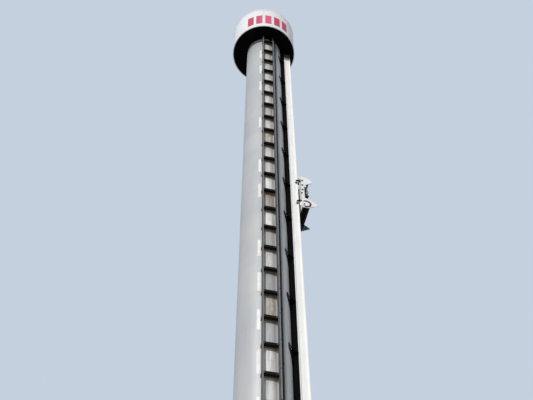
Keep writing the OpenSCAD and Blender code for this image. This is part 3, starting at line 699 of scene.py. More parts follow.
def prism(bm, outline, low, high, place, bevel=0.0):
    # An outline in its own x-y plane, made solid from low to high along its z
    bottom = [bm.verts.new(place @ Vector((u, v, low))) for u, v in outline]
    top = [bm.verts.new(place @ Vector((u, v, high))) for u, v in outline]
    count = len(outline)
    faces = [bm.faces.new(bottom[::-1]), bm.faces.new(top)]
    for i in range(count):
        j = (i + 1) % count
        faces.append(bm.faces.new((bottom[i], bottom[j], top[j], top[i])))
    if bevel:
        rim = [edge for face in faces[:2] for edge in face.edges]
        bmesh.ops.bevel(bm, geom=rim, offset=bevel, segments=1, affect="EDGES")


def lathe(bm, profile, steps, place, closed=False):
    # Turns a profile of (radius, height) pairs round the local z axis
    rings = []
    for radius, height in profile:
        if radius < 1e-7:
            rings.append([bm.verts.new(place @ Vector((0, 0, height)))])
            continue
        ring = []
        for i in range(steps):
            angle = 2 * pi * i / steps
            point = Vector((radius * cos(angle), radius * sin(angle), height))
            ring.append(bm.verts.new(place @ point))
        rings.append(ring)
    pairs = list(zip(rings, rings[1:]))
    if closed:
        pairs.append((rings[-1], rings[0]))
    for first, second in pairs:
        for i in range(steps):
            j = (i + 1) % steps
            around = ((first, i), (first, j), (second, j), (second, i))
            kept = list(dict.fromkeys(ring[k % len(ring)] for ring, k in around))
            if len(kept) > 2:
                bm.faces.new(kept)


def skinRows(bm, rows):
    # Closes a body between rows of points that lie round it, with a face at either end
    count = len(rows[0])
    for first, second in zip(rows, rows[1:]):
        for i in range(count):
            j = (i + 1) % count
            bm.faces.new((first[i], first[j], second[j], second[i]))
    bm.faces.new(rows[0][::-1])
    bm.faces.new(rows[-1])


def softenRim(bm, bevel):
    rim = [edge for edge in bm.edges if edge.calc_face_angle(0) > 1.0]
    bmesh.ops.bevel(bm, geom=rim, offset=bevel, segments=1, affect="EDGES")


def toPlace(position, normal, up=Vector((0, 0, 1))):
    # Matrix whose z runs along the normal and whose y runs near up
    z = Vector(normal).normalized()
    x = Vector(up).cross(z)
    x = x.normalized() if x.length > 1e-6 else Vector((1, 0, 0))
    y = z.cross(x)
    matrix = Matrix((x, y, z)).transposed().to_4x4()
    matrix.translation = Vector(position)
    return matrix


def asObject(name, bm):
    bmesh.ops.recalc_face_normals(bm, faces=bm.faces[:])
    mesh = bpy.data.meshes.new(name)
    bm.to_mesh(mesh)
    bm.free()
    return bpy.data.objects.new(name, mesh)


def finishPiece(piece, finishName, body, smooth=0.0):
    scene = bpy.context.scene.collection
    if piece.name not in scene.objects:
        scene.objects.link(piece)
    mesh = piece.data
    mesh.materials.clear()
    mesh.materials.append(finishes[finishName])
    for face in mesh.polygons:
        face.material_index = 0
    if smooth:
        mesh.shade_smooth()
        mesh.set_sharp_from_angle(angle=radians(smooth))
    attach(piece, body)
    return piece


def meshPiece(name, bm, finishName, body, smooth=35.0):
    return finishPiece(asObject(name, bm), finishName, body, smooth)


# Geometry Nodes: a tree with its sockets and its first and last node
def newTree(name, sockets):
    tree = bpy.data.node_groups.new(name, "GeometryNodeTree")
    add = tree.interface.new_socket
    for label, kind in [("Geometry", "Geometry")] + sockets:
        add(name=label, in_out="INPUT", socket_type="NodeSocket" + kind)
    add(name="Geometry", in_out="OUTPUT", socket_type="NodeSocketGeometry")
    return tree, tree.nodes.new("NodeGroupInput"), tree.nodes.new("NodeGroupOutput")


# Geometry Nodes: puts a template on marked points, each turned the way its point faces
def buildPlacingTree():
    sockets = [("Template", "Object"), ("Scale", "Float"), ("Spin", "Float"), ("Seed", "Int"),
               ("Finish", "Material")]
    tree, entry, leave = newTree("placeOnPoints", sockets)
    add = tree.nodes.new
    link = tree.links.new
    template = add("GeometryNodeObjectInfo")
    template.transform_space = "ORIGINAL"
    facing = add("GeometryNodeInputNamedAttribute")
    facing.data_type = "FLOAT_VECTOR"
    facing.inputs["Name"].default_value = "facing"
    put = add("GeometryNodeInstanceOnPoints")
    negative = add("ShaderNodeMath")
    negative.operation = "MULTIPLY"
    negative.inputs[1].default_value = -1.0
    spin = add("FunctionNodeRandomValue")
    spin.data_type = "FLOAT"
    axis = add("ShaderNodeCombineXYZ")
    turn = add("GeometryNodeRotateInstances")
    real = add("GeometryNodeRealizeInstances")
    paint = add("GeometryNodeSetMaterial")
    link(entry.outputs["Template"], template.inputs["Object"])
    link(entry.outputs["Geometry"], put.inputs["Points"])
    link(template.outputs["Geometry"], put.inputs["Instance"])
    link(facing.outputs["Attribute"], put.inputs["Rotation"])
    link(entry.outputs["Scale"], put.inputs["Scale"])
    link(entry.outputs["Spin"], negative.inputs[0])
    link(negative.outputs[0], spin.inputs[2])
    link(entry.outputs["Spin"], spin.inputs[3])
    link(entry.outputs["Seed"], spin.inputs["Seed"])
    link(spin.outputs[1], axis.inputs["Z"])
    link(put.outputs["Instances"], turn.inputs["Instances"])
    link(axis.outputs[0], turn.inputs["Rotation"])
    link(turn.outputs["Instances"], real.inputs["Geometry"])
    link(real.outputs["Geometry"], paint.inputs["Geometry"])
    link(entry.outputs["Finish"], paint.inputs["Material"])
    link(paint.outputs["Geometry"], leave.inputs["Geometry"])
    return tree


# Geometry Nodes: makes a tube of a given radius along the edges of a path
def buildTubeTree():
    sockets = [("Radius", "Float"), ("Sides", "Int"), ("Finish", "Material")]
    tree, entry, leave = newTree("tubeAlongPath", sockets)
    add = tree.nodes.new
    link = tree.links.new
    path = add("GeometryNodeMeshToCurve")
    ring = add("GeometryNodeCurvePrimitiveCircle")
    body = add("GeometryNodeCurveToMesh")
    body.inputs["Fill Caps"].default_value = True
    soft = add("GeometryNodeSetShadeSmooth")
    real = add("GeometryNodeRealizeInstances")
    paint = add("GeometryNodeSetMaterial")
    link(entry.outputs["Geometry"], path.inputs["Mesh"])
    link(entry.outputs["Radius"], ring.inputs["Radius"])
    link(entry.outputs["Sides"], ring.inputs["Resolution"])
    link(path.outputs["Curve"], body.inputs["Curve"])
    link(ring.outputs["Curve"], body.inputs["Profile Curve"])
    link(body.outputs["Mesh"], soft.inputs["Geometry"])
    link(soft.outputs["Geometry"], real.inputs["Geometry"])
    link(real.outputs["Geometry"], paint.inputs["Geometry"])
    link(entry.outputs["Finish"], paint.inputs["Material"])
    link(paint.outputs["Geometry"], leave.inputs["Geometry"])
    return tree


placingTree = buildPlacingTree()
tubeTree = buildTubeTree()


def socketOf(tree, name):
    for item in tree.interface.items_tree:
        if item.item_type == "SOCKET" and item.in_out == "INPUT" and item.name == name:
            return item.identifier
    raise KeyError(name)


def runTree(name, base, tree, values, finishName, body, smooth):
    # Runs the tree on the base object once and keeps the result as a plain mesh
    bpy.context.scene.collection.objects.link(base)
    modifier = base.modifiers.new("tree", "NODES")
    modifier.node_group = tree
    for key, value in values.items():
        modifier[socketOf(tree, key)] = value
    depsgraph = bpy.context.evaluated_depsgraph_get()
    mesh = bpy.data.meshes.new_from_object(base.evaluated_get(depsgraph), depsgraph=depsgraph)
    base.modifiers.remove(modifier)
    bpy.data.objects.remove(base)
    mesh.name = name
    for layer in [a.name for a in mesh.attributes if a.name in ("facing", "UVMap")]:
        mesh.attributes.remove(mesh.attributes[layer])
    piece = bpy.data.objects.new(name, mesh)
    return finishPiece(piece, finishName, body, smooth)


def placeParts(name, template, spots, finishName, body, scale=1.0, spin=0.0, seed=1, smooth=35.0):
    # Each spot is a position, a normal and, where it matters, an up direction
    points = bpy.data.meshes.new(name + "Points")
    points.from_pydata([tuple(spot[0]) for spot in spots], [], [])
    facing = points.attributes.new("facing", "FLOAT_VECTOR", "POINT")
    for index, spot in enumerate(spots):
        facing.data[index].vector = toPlace(*spot).to_euler()
    base = bpy.data.objects.new(name + "Points", points)
    pattern = asObject(name + "Template", template)
    bpy.context.scene.collection.objects.link(pattern)
    values = {"Template": pattern, "Scale": scale, "Spin": radians(spin), "Seed": seed,
              "Finish": finishes[finishName]}
    piece = runTree(name, base, placingTree, values, finishName, body, smooth)
    bpy.data.objects.remove(pattern)
    return piece


def tubeAlong(name, paths, radius, sides, finishName, body):
    verts = []
    edges = []
    for path in paths:
        first = len(verts)
        verts.extend(tuple(point) for point in path)
        edges.extend((first + i, first + i + 1) for i in range(len(path) - 1))
    mesh = bpy.data.meshes.new(name + "Path")
    mesh.from_pydata(verts, edges, [])
    base = bpy.data.objects.new(name + "Path", mesh)
    values = {"Radius": radius, "Sides": sides, "Finish": finishes[finishName]}
    return runTree(name, base, tubeTree, values, finishName, body, 50.0)


# Small fixings, drawn once with the joint face at z = 0. Heights are shares of the whole.
def boltHead(acrossFlats, height, washer):
    bm = bmesh.new()
    flat = Matrix.Identity(4)
    wide = acrossFlats * 0.5774
    washerTop = height * 0.26
    disc = [(0, 0), (washer, 0), (washer, height * 0.22), (wide * 0.9, washerTop), (0, washerTop)]
    lathe(bm, disc, 12, flat)
    rim = [(wide, washerTop), (wide, height * 0.84), (wide * 0.84, height), (0, height)]
    lathe(bm, [(0, height * 0.2)] + rim, 6, flat)
    thread = wide * 0.5
    stud = [(0, height * 0.9), (thread, height * 0.9), (thread, height * 1.3), (0, height * 1.36)]
    lathe(bm, stud, 8, flat)
    return bm


def rivetHead(radius, height):
    bm = bmesh.new()
    dome = [(0, 0), (radius, 0), (radius * 0.94, height * 0.45), (radius * 0.62, height * 0.86),
            (0, height)]
    lathe(bm, dome, 10, Matrix.Identity(4))
    return bm


flatHeadTaper = 0.0004


def flatHead(bm, base, sizes, sides, place):
    # Head of a small bolt that stands on a plate: its radius, its height and its crown above that
    radius, height, crown = sizes
    top = base + height
    profile = [(0, base), (radius, base), (radius - flatHeadTaper, top), (0, top + crown)]
    lathe(bm, profile, sides, place)


def sized(profile, radius, base=0.0):
    # A profile whose radii are shares of the radius and whose heights start at the base
    return [(radius * share, base + z) for share, z in profile]


def onRound(radius, angle, z):
    # Point on a circle round the column; the angle starts at the front and turns towards +X
    return Vector((radius * sin(radians(angle)), -radius * cos(radians(angle)), z))


def roundNormal(angle):
    return Vector((sin(radians(angle)), -cos(radians(angle)), 0))


def roundSpot(radius, angle, z):
    return onRound(radius, angle, z), roundNormal(angle)


def sideSpot(x, y, z, side):
    # Faces +Y where side is 1 and -Y where it is -1
    return Vector((x, y, z)), Vector((0, side, 0))


def upSpot(x, y, z):
    return Vector((x, y, z)), Vector((0, 0, 1)), Vector((1, 0, 0))


def turnedSpot(z, angle=0.0):
    # On the column's axis, for a template that is drawn round the column and turned by the angle
    turned = radians(angle)
    return Vector((0, 0, z)), Vector((0, 0, 1)), Vector((-sin(turned), cos(turned), 0))


def curvedPlate(bm, inner, outer, start, end, low, high, steps):
    # Piece of a round shell between two angles, angles from the front
    section = ((inner, low), (outer, low), (outer, high), (inner, high))
    rows = []
    for i in range(steps + 1):
        angle = start + (end - start) * i / steps
        rows.append([bm.verts.new(onRound(r, angle, z)) for r, z in section])
    skinRows(bm, rows)


def levels(low, high, pitch):
    count = int((high - low) / pitch + 1e-6)
    return [low + i * pitch for i in range(count + 1)]


# Column: weld beads round and along its rolled plates, and the pale plates beside the front track
columnDetail = {
    "beadHalf": 0.0020, "beadHigh": 0.0007, "beadSunk": 0.001,
    "roundSteps": 96,
    "seamStop": 0.05, "seamTurn": 137.0, "seamMove": 97,
    "railsBetween": (52, 128),
    "trackWithin": 25,
    "barAngle": -22.24, "barSpread": 3.56, "barLift": (0.0004, 0.0024), "barBevel": 0.0007,
    "barHeight": 0.27, "barPitch": 0.518, "barLow": 2.268, "barHigh": 10.95,
    "barMissing": (8, 11, 13),
    "screw": (0.0021, 0.0011), "screwInset": 0.014, "screwAngle": 1.0,
}
standUp = Matrix.Rotation(radians(90), 4, "X")


def makeColumnDetail(spec):
    radius = size["columnRadius"]
    wide, high, sunk = spec["beadHalf"], spec["beadHigh"], spec["beadSunk"]
    shoulder = high * 0.8
    ring = bmesh.new()
    section = [(radius - sunk, -wide), (radius + shoulder, -wide * 0.5), (radius + high, 0),
               (radius + shoulder, wide * 0.5), (radius - sunk, wide)]
    lathe(ring, section, spec["roundSteps"], Matrix.Identity(4), closed=True)
    stop = size["soffitLow"] - spec["seamStop"]
    seams = levels(size["sectionLow"] + plateHeight, stop, plateHeight)
    spots = [turnedSpot(z) for z in seams]
    placeParts("columnRoundSeams", ring, spots, "columnSeam", "tower", smooth=60)
    strip = bmesh.new()
    half = plateHeight / 2
    slim = wide * 0.6
    section = [(-wide, -sunk), (wide, -sunk), (slim, shoulder), (0, high), (-slim, shoulder)]
    prism(strip, section, -half, half, standUp)
    # a long seam that would lie under a track is moved round the column
    railsFrom, railsTo = spec["railsBetween"]
    near = spec["trackWithin"]
    spots = []
    for index, z in enumerate(seams[:-1]):
        angle = index * spec["seamTurn"] % 360
        if railsFrom < angle < railsTo or not near <= angle <= 360 - near:
            angle = (angle + spec["seamMove"]) % 360
        spots.append(roundSpot(radius, angle, z + half))
    placeParts("columnLongSeams", strip, spots, "columnSeam", "tower", smooth=60)
    bar = bmesh.new()
    middle, reach, tall = spec["barAngle"], spec["barSpread"], spec["barHeight"]
    inner, outer = [radius + lift for lift in spec["barLift"]]
    curvedPlate(bar, inner, outer, middle - reach, middle + reach, 0, tall, 8)
    softenRim(bar, spec["barBevel"])
    heights = levels(spec["barLow"], spec["barHigh"] - tall, spec["barPitch"])
    heights = [z for index, z in enumerate(heights) if index not in spec["barMissing"]]
    spots = [turnedSpot(z) for z in heights]
    placeParts("columnPalePlates", bar, spots, "barWhite", "tower", smooth=40)
    spots = []
    for z in heights:
        for along in (spec["screwInset"], tall / 2, tall - spec["screwInset"]):
            for side in (-1, 1):
                angle = middle + side * (reach - spec["screwAngle"])
                spots.append(roundSpot(outer, angle, z + along))
    placeParts("columnPlateScrews", rivetHead(*spec["screw"]), spots, "galvanised", "tower")


makeColumnDetail(columnDetail)


# Front track: bolts, splice plates between the rails' lengths, and straps round the duct
trackDetail = {
    "bolt": (0.007, 0.0036, 0.00434), "boltInset": 0.012, "boltBehind": 0.026,
    "spliceHigh": 0.09, "spliceThick": 0.0016, "spliceMargin": 0.005, "spliceRecess": 0.002,
    "spliceBevel": 0.0006, "spliceBolt": (0.0034, 0.0018, 0.0003),
    "spliceBolts": (-0.6, -0.25, 0.25, 0.6),
    "strapHigh": 0.012, "strapProud": 0.0012, "strapGrip": 0.0002, "strapEnds": (0.004, 0.008),
    "strapBevel": 0.0004, "strapBolt": (0.0032, 0.0018, 0.0003), "strapRise": 0.35,
}


def makeTrackDetail(spec):
    front, back = size["trackFront"], size["trackBack"]
    half = size["trackHalf"]
    inner = half - size["trackRailWide"]
    middle = [size["framesLow"] + i * framePitch + frameThick / 2 for i in range(frameCount)]
    spots = []
    for z in middle:
        for side in (-1, 1):
            spots.append(sideSpot(side * (inner - spec["boltInset"]), front, z, -1))
            behind = Vector((side * half, back + spec["boltBehind"], z))
            spots.append((behind, Vector((side, 0, 0))))
    placeParts("trackFrameBolts", boltHead(*spec["bolt"]), spots, "galvanised", "tower", spin=30)
    plate = bmesh.new()
    long, thick = spec["spliceHigh"] / 2, spec["spliceThick"]
    deep = (back - front) / 2 - spec["spliceMargin"]
    slab(plate, (-deep, -long, 0), (deep, long, thick), spec["spliceBevel"])
    for v in spec["spliceBolts"]:
        flatHead(plate, thick, spec["spliceBolt"], 6, Matrix.Translation((0, v * long, 0)))
    out = half - (size["trackRailWide"] / 2 - spec["spliceRecess"])
    spots = []
    for z in middle[3::4]:
        for side in (-1, 1):
            place = Vector((side * out, (front + back) / 2, z + framePitch / 2))
            spots.append((place, Vector((side, 0, 0))))
    placeParts("trackSplices", plate, spots, "trackPaint", "tower")
    low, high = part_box("cable_duct")
    proud, grip = spec["strapProud"], spec["strapGrip"]
    leftEnd, rightEnd = spec["strapEnds"]
    strap = bmesh.new()
    tall = spec["strapHigh"] / 2
    for x0, y0, x1, y1 in (
        (low.x - proud, low.y - proud, high.x + proud, low.y + grip),
        (low.x - proud, low.y + grip, low.x + grip, high.y - leftEnd),
        (high.x - grip, low.y + grip, high.x + proud, high.y - rightEnd),
    ):
        slab(strap, (x0, y0, -tall), (x1, y1, tall), spec["strapBevel"])
    place = toPlace(((low.x + high.x) / 2, low.y - proud, 0), (0, -1, 0))
    flatHead(strap, 0, spec["strapBolt"], 8, place)
    spots = [turnedSpot(z + framePitch * spec["strapRise"]) for z in middle[:-1]]
    placeParts("ductStraps", strap, spots, "galvanised", "tower")


makeTrackDetail(trackDetail)


# Conduit: a dark round pipe clipped to the column beside the duct, with a junction box at its foot
conduitDetail = {
    "angle": 26.0,
    "radius": 0.0110,
    "sides": 16,
    "gap": 0.0035,
    "topSunk": 0.003,
    "footSunk": 0.002,
    "clipWide": 0.014, "clipThick": 0.0014, "clipReach": 0.0110, "clipSunk": 0.0015,
    "grip": 0.0003,
    "clipScrew": (0.0028, 0.0018),
    "boxAngle": 28.3, "boxRise": 0.050, "boxHalf": (0.016, 0.026), "boxDeep": 0.028,
    "boxSunk": 0.004, "boxBevel": 0.0012,
    "lidThick": 0.0025, "lidLap": 0.0006, "lidSunk": 0.0002, "lidBevel": 0.0008,
    "lidScrew": (0.0022, 0.0012, 0.0002), "lidScrewInset": 0.004,
    "gland": [(0, -0.003), (0.0138, -0.003), (0.0138, 0.005), (0.0122, 0.008), (0, 0.008)],
}


def makeConduit(spec):
    wall = size["columnRadius"]
    angle, radius = spec["angle"], spec["radius"]
    stand = spec["gap"] + radius
    top = size["soffitLow"] + spec["topSunk"]
    halfWide, halfHigh = spec["boxHalf"]
    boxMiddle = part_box("cable_duct")[0].z + spec["boxRise"]
    foot = boxMiddle + halfHigh
    path = [onRound(wall + stand, angle, z) for z in (top, foot - spec["footSunk"])]
    tubeAlong("wallConduit", [path], radius, spec["sides"], "conduitBlack", "tower")
    # the clip is half a ring with one foot, which is screwed to the column
    thick, sunk = spec["clipThick"], spec["clipSunk"]
    outer = radius + thick
    inner = radius - spec["grip"]
    reach = outer + spec["clipReach"]
    arc = [radians(180 - 15 * i) for i in range(13)]
    section = [(-outer, -sunk)]
    section += [(outer * cos(a), stand + outer * sin(a)) for a in arc]
    section += [(outer, thick), (reach, thick), (reach, -sunk), (inner, -sunk)]
    section += [(inner * cos(a), stand + inner * sin(a)) for a in reversed(arc)]
    section += [(-inner, -sunk)]
    clip = bmesh.new()
    half = spec["clipWide"] / 2
    prism(clip, section, -half, half, standUp)
    heights = levels(foot + framePitch / 2, top - framePitch / 2, 2 * framePitch)
    spots = [roundSpot(wall, angle, z) for z in heights]
    placeParts("conduitClips", clip, spots, "bracketBlack", "tower", smooth=40)
    turned = angle + degrees((outer + spec["clipReach"] / 2) / wall)
    spots = [roundSpot(wall + thick - spec["grip"], turned, z) for z in heights]
    placeParts("conduitClipScrews", rivetHead(*spec["clipScrew"]), spots, "galvanised", "tower")
    box = bmesh.new()
    deep, sunk = spec["boxDeep"], spec["lidSunk"]
    lid = deep + spec["lidThick"]
    place = toPlace(*roundSpot(wall, spec["boxAngle"], boxMiddle))
    low = (-halfWide, -halfHigh, -spec["boxSunk"])
    slab(box, low, (halfWide, halfHigh, deep), spec["boxBevel"], place)
    lidWide, lidHigh = halfWide + spec["lidLap"], halfHigh + spec["lidLap"]
    low = (-lidWide, -lidHigh, deep - sunk)
    slab(box, low, (lidWide, lidHigh, lid), spec["lidBevel"], place)
    inset = spec["lidScrewInset"]
    for u in (-1, 1):
        for v in (-1, 1):
            corner = (u * (halfWide - inset), v * (halfHigh - inset), lid - sunk)
            flatHead(box, 0, spec["lidScrew"], 8, place @ Matrix.Translation(corner))
    lathe(box, spec["gland"], 6, Matrix.Translation(onRound(wall + stand, angle, foot)))
    meshPiece("conduitBox", box, "galvanised", "tower")


makeConduit(conduitDetail)


# Drop track: stiffeners and splices in the rails, studs at the brackets, joint strips
dropDetail = {
    "flange": 0.008,
    "web": 0.006,
    "stiffenerThick": 0.003, "stiffenerNotch": 0.003, "stiffenerFree": 0.002,
    "stiffenerBevel": 0.0004,
    "keeperFree": 0.382,
    "spliceHigh": 0.12, "spliceThick": 0.0022, "spliceFree": 0.004, "splicePitch": 1.354,
    "spliceStop": 0.2, "spliceBevel": 0.0006, "spliceBolt": (0.0036, 0.0020, 0.0004),
    "spliceBolts": ((-0.6, 0.6), (-0.75, -0.3, 0.3, 0.75)),
    "stud": (0.0085, 0.005, 0.0058), "studAngles": (-37.0, -31.0, 31.0, 37.0),
    "studRows": (-0.017, 0.017), "studFeet": (0.014, 0.034),
    "saddleThick": 0.0063,
    "stripHalf": 0.011, "stripThick": 0.0018, "stripFree": 0.004, "stripShort": 0.012,
    "stripShift": 0.002, "stripBevel": 0.0005, "stripBolt": (0.0028, 0.0016, 0.0004),
    "stripBolts": ((-0.6, 0.0, 0.6), (-0.5, 0.5)), "stripFrom": 0.2, "stripStop": 0.3,
}


def makeDropDetail(spec):
    back, front = size["railBack"], size["railFront"]
    flange, web = spec["flange"], spec["web"]
    heights = [bracketLow + i * bracketPitch for i in range(bracketCount)]
    # between the flanges on the inner side, which the keeper wheels leave free
    full = bmesh.new()
    depth = front - back - 2 * flange
    reach = (size["railWide"] - web) / 2 - spec["stiffenerFree"]
    thick, notch = spec["stiffenerThick"] / 2, spec["stiffenerNotch"]
    outline = [(notch, 0), (depth - notch, 0), (depth, notch), (depth, reach), (0, reach),
               (0, notch)]
    prism(full, outline, -thick, thick, Matrix.Identity(4), spec["stiffenerBevel"])
    spots = []
    for z in heights:
        for side in (-1, 1):
            place = Vector((back + flange, side * (size["railY"] - web / 2), z))
            spots.append((place, Vector((0, 0, -side)), Vector((0, -side, 0))))
    placeParts("railInnerStiffeners", full, spots, "railWhite", "tower")
    plate = bmesh.new()
    wide = (spec["keeperFree"] - back - flange) / 2 - spec["spliceFree"]
    tall, thick = spec["spliceHigh"] / 2, spec["spliceThick"]
    slab(plate, (-wide, -tall, 0), (wide, tall, thick), spec["spliceBevel"])
    across, along = spec["spliceBolts"]
    for u in across:
        for v in along:
            place = Matrix.Translation((u * wide, v * tall, 0))
            flatHead(plate, thick, spec["spliceBolt"], 6, place)
    middle = back + flange + wide + spec["spliceFree"]
    spots = []
    stop = size["soffitLow"] - spec["spliceStop"]
    for z in levels(heights[0] + framePitch, stop, spec["splicePitch"]):
        for side in (-1, 1):
            for face in (1, -1):
                y = side * (size["railY"] + face * web / 2)
                spots.append(sideSpot(middle, y, z, side * face))
    placeParts("railSplices", plate, spots, "railWhite", "tower")
    rows = [z + row for z in heights for row in spec["studRows"]]
    rows += [size["railLow"] + up for up in spec["studFeet"]]
    saddle = size["columnRadius"] + spec["saddleThick"]
    spots = [roundSpot(saddle, 90 + angle, z) for z in rows for angle in spec["studAngles"]]
    placeParts("bracketStuds", boltHead(*spec["stud"]), spots, "galvanised", "tower", spin=30)
    strip = bmesh.new()
    gap = back - size["columnRadius"] - spec["stripShort"]
    long, wide, thick = gap / 2 - spec["stripFree"], spec["stripHalf"], spec["stripThick"]
    slab(strip, (-long, -wide, 0), (long, wide, thick), spec["stripBevel"])
    along, across = spec["stripBolts"]
    for u in along:
        for v in across:
            place = Matrix.Translation((u * gap / 2, v * wide, 0))
            flatHead(strip, thick, spec["stripBolt"], 6, place)
    low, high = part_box("drop_track_backing")
    x = (low.x + back) / 2 + spec["stripShift"]
    first, stop = heights[0] - spec["stripFrom"], size["soffitLow"] - spec["stripStop"]
    spots = []
    for z in levels(first, stop, bracketPitch):
        spots.append(sideSpot(x, low.y, z, -1))
        spots.append(sideSpot(x, high.y, z, 1))
    placeParts("backingJoints", strip, spots, "bracketBlack", "tower")


makeDropDetail(dropDetail)
print("column and tracks detailed")


# Head: cover strips, rivets and plain red blocks on the band, ribs on the roof and the soffit.
# The blocks' angles are from the front and from the back.
headDetail = {
    "wallInset": 0.003,
    "rimHigh": 0.030,
    "stripCount": 16, "stripWide": 0.022, "stripLift": (-0.0004, 0.0014), "stripBeside": 8.4,
    "rivet": (0.0024, 0.0014), "rivetPitch": 0.05, "rivetInset": 0.02,
    "ringRivets": 120, "ringInset": 0.012,
    "blockAngles": (-37.5, -20.8, -4.0, 12.8, 29.5), "blockSpread": 5.8, "blockFree": 7,
    "blockLift": (-0.0004, 0.0018), "blockBevel": 0.0006, "blockLow": 0.108, "blockHigh": 0.423,
    "ribHalf": 0.004,
    "soffitRibs": 24, "soffitRib": (-0.0025, 0.0002), "soffitEnds": (0.012, 0.022),
    "soffitBevel": 0.0005, "soffitBolt": (0.0036, 0.0026),
    "roofRibs": 12, "roofRib": (-0.0002, 0.006), "roofEnds": (0.01, 0.016), "roofBevel": 0.0012,
    "roofDeck": 0.022,
}
# The hatch's slabs, as low corner, high corner and bevel, and its handle's posts
roofHatch = {
    "middle": (0.0, 0.385),
    "slabs": [
        ((-0.062, -0.052, 0.0), (0.062, 0.052, 0.010), 0.0015),
        ((-0.056, -0.046, 0.010), (0.056, 0.046, 0.015), 0.002),
        ((-0.045, 0.048, 0.008), (-0.027, 0.060, 0.019), 0.0012),
        ((0.027, 0.048, 0.008), (0.045, 0.060, 0.019), 0.0012),
    ],
    "post": [(0, 0.015), (0.003, 0.015), (0.003, 0.022), (0, 0.022)],
    "posts": ((-0.018, -0.034, 0), (0.018, -0.034, 0)),
    "handle": ((-0.022, -0.0365, 0.020), (0.022, -0.0315, 0.0245), 0.0015),
}


def ribsRound(name, inner, outer, half, heights, level, bevel, count, finishName):
    # Straight strips that run outwards from the column, evenly spaced round it
    rib = bmesh.new()
    outline = [(inner, -half), (outer, -half), (outer, half), (inner, half)]
    prism(rib, outline, *heights, Matrix.Translation((0, 0, level)), bevel)
    spots = [turnedSpot(0, (i + 0.5) * 360 / count) for i in range(count)]
    placeParts(name, rib, spots, finishName, "tower")


def makeHeadDetail(spec):
    wall = size["headRadius"] - spec["wallInset"]
    column = size["columnRadius"]
    low, high = size["headLow"], size["headHigh"]
    rim = spec["rimHigh"]
    blocks = spec["blockAngles"]
    strip = bmesh.new()
    half = degrees(spec["stripWide"] / 2 / wall)
    inner, outer = [wall + lift for lift in spec["stripLift"]]
    curvedPlate(strip, inner, outer, -half, half, low + rim, high - rim, 3)
    angles = []
    for i in range(spec["stripCount"]):
        angle = (i + 0.5) * 360 / spec["stripCount"]
        fromFront = (angle + 180) % 360 - 180
        fromBack = angle - 180
        first, last = blocks[0] - spec["blockFree"], blocks[-1] + spec["blockFree"]
        if not first < fromFront < last and not first < fromBack < last:
            angles.append(angle)
    beside = (blocks[0] - spec["stripBeside"], blocks[-1] + spec["stripBeside"])
    angles += [middle + angle for middle in (0, 180) for angle in beside]
    spots = [turnedSpot(0, angle) for angle in angles]
    placeParts("bandCoverStrips", strip, spots, "headWhite", "tower")
    inset = rim + spec["rivetInset"]
    spots = []
    for middle in angles:
        for z in levels(low + inset, high - inset, spec["rivetPitch"]):
            for side in (-1, 1):
                spots.append(roundSpot(outer, middle + side * half * 0.6, z))
    inset = rim + spec["ringInset"]
    for z in (low + inset, high - inset):
        for i in range(spec["ringRivets"]):
            spots.append(roundSpot(wall, i * 360 / spec["ringRivets"], z))
    placeParts("bandRivets", rivetHead(*spec["rivet"]), spots, "headWhite", "tower")
    block = bmesh.new()
    reach = spec["blockSpread"]
    inner, outer = [wall + lift for lift in spec["blockLift"]]
    foot, top = low + spec["blockLow"], low + spec["blockHigh"]
    curvedPlate(block, inner, outer, -reach, reach, foot, top, 10)
    softenRim(block, spec["blockBevel"])
    spots = [turnedSpot(0, middle + angle) for middle in (0, 180) for angle in blocks]
    placeParts("bandColourBlocks", block, spots, "blockRed", "tower", smooth=40)
    # soffit: radial joint strips and a ring of bolts
    inner, outer = column + spec["soffitEnds"][0], wall - spec["soffitEnds"][1]
    half, level, count = spec["ribHalf"], size["soffitLow"], spec["soffitRibs"]
    ribs, bevel = spec["soffitRib"], spec["soffitBevel"]
    ribsRound("soffitJointStrips", inner, outer, half, ribs, level, bevel, count, "soffitShadeBlack")
    down = Vector((0, 0, -1))
    along = Vector((0, 1, 0))
    turns = [i * 120 / count for i in range(count * 3)]
    spots = [(onRound(outer - half, turn, level), down, along) for turn in turns]
    placeParts("soffitBolts", rivetHead(*spec["soffitBolt"]), spots, "soffitShadeBlack", "tower")
    # roof: raised joints, a hatch with its hinges and handle
    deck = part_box("head_roof")[1].z - spec["roofDeck"]
    inner, outer = column + spec["roofEnds"][0], wall - spec["roofEnds"][1]
    ribs, bevel, count = spec["roofRib"], spec["roofBevel"], spec["roofRibs"]
    ribsRound("roofJoints", inner, outer, half, ribs, deck, bevel, count, "roofGrey")
    hatch = bmesh.new()
    place = Matrix.Translation((*roofHatch["middle"], deck))
    for corner, opposite, bevel in roofHatch["slabs"]:
        slab(hatch, corner, opposite, bevel, place)
    for post in roofHatch["posts"]:
        lathe(hatch, roofHatch["post"], 10, place @ Matrix.Translation(post))
    slab(hatch, *roofHatch["handle"], place)
    meshPiece("roofHatch", hatch, "galvanised", "tower")


makeHeadDetail(headDetail)
print("head detailed")


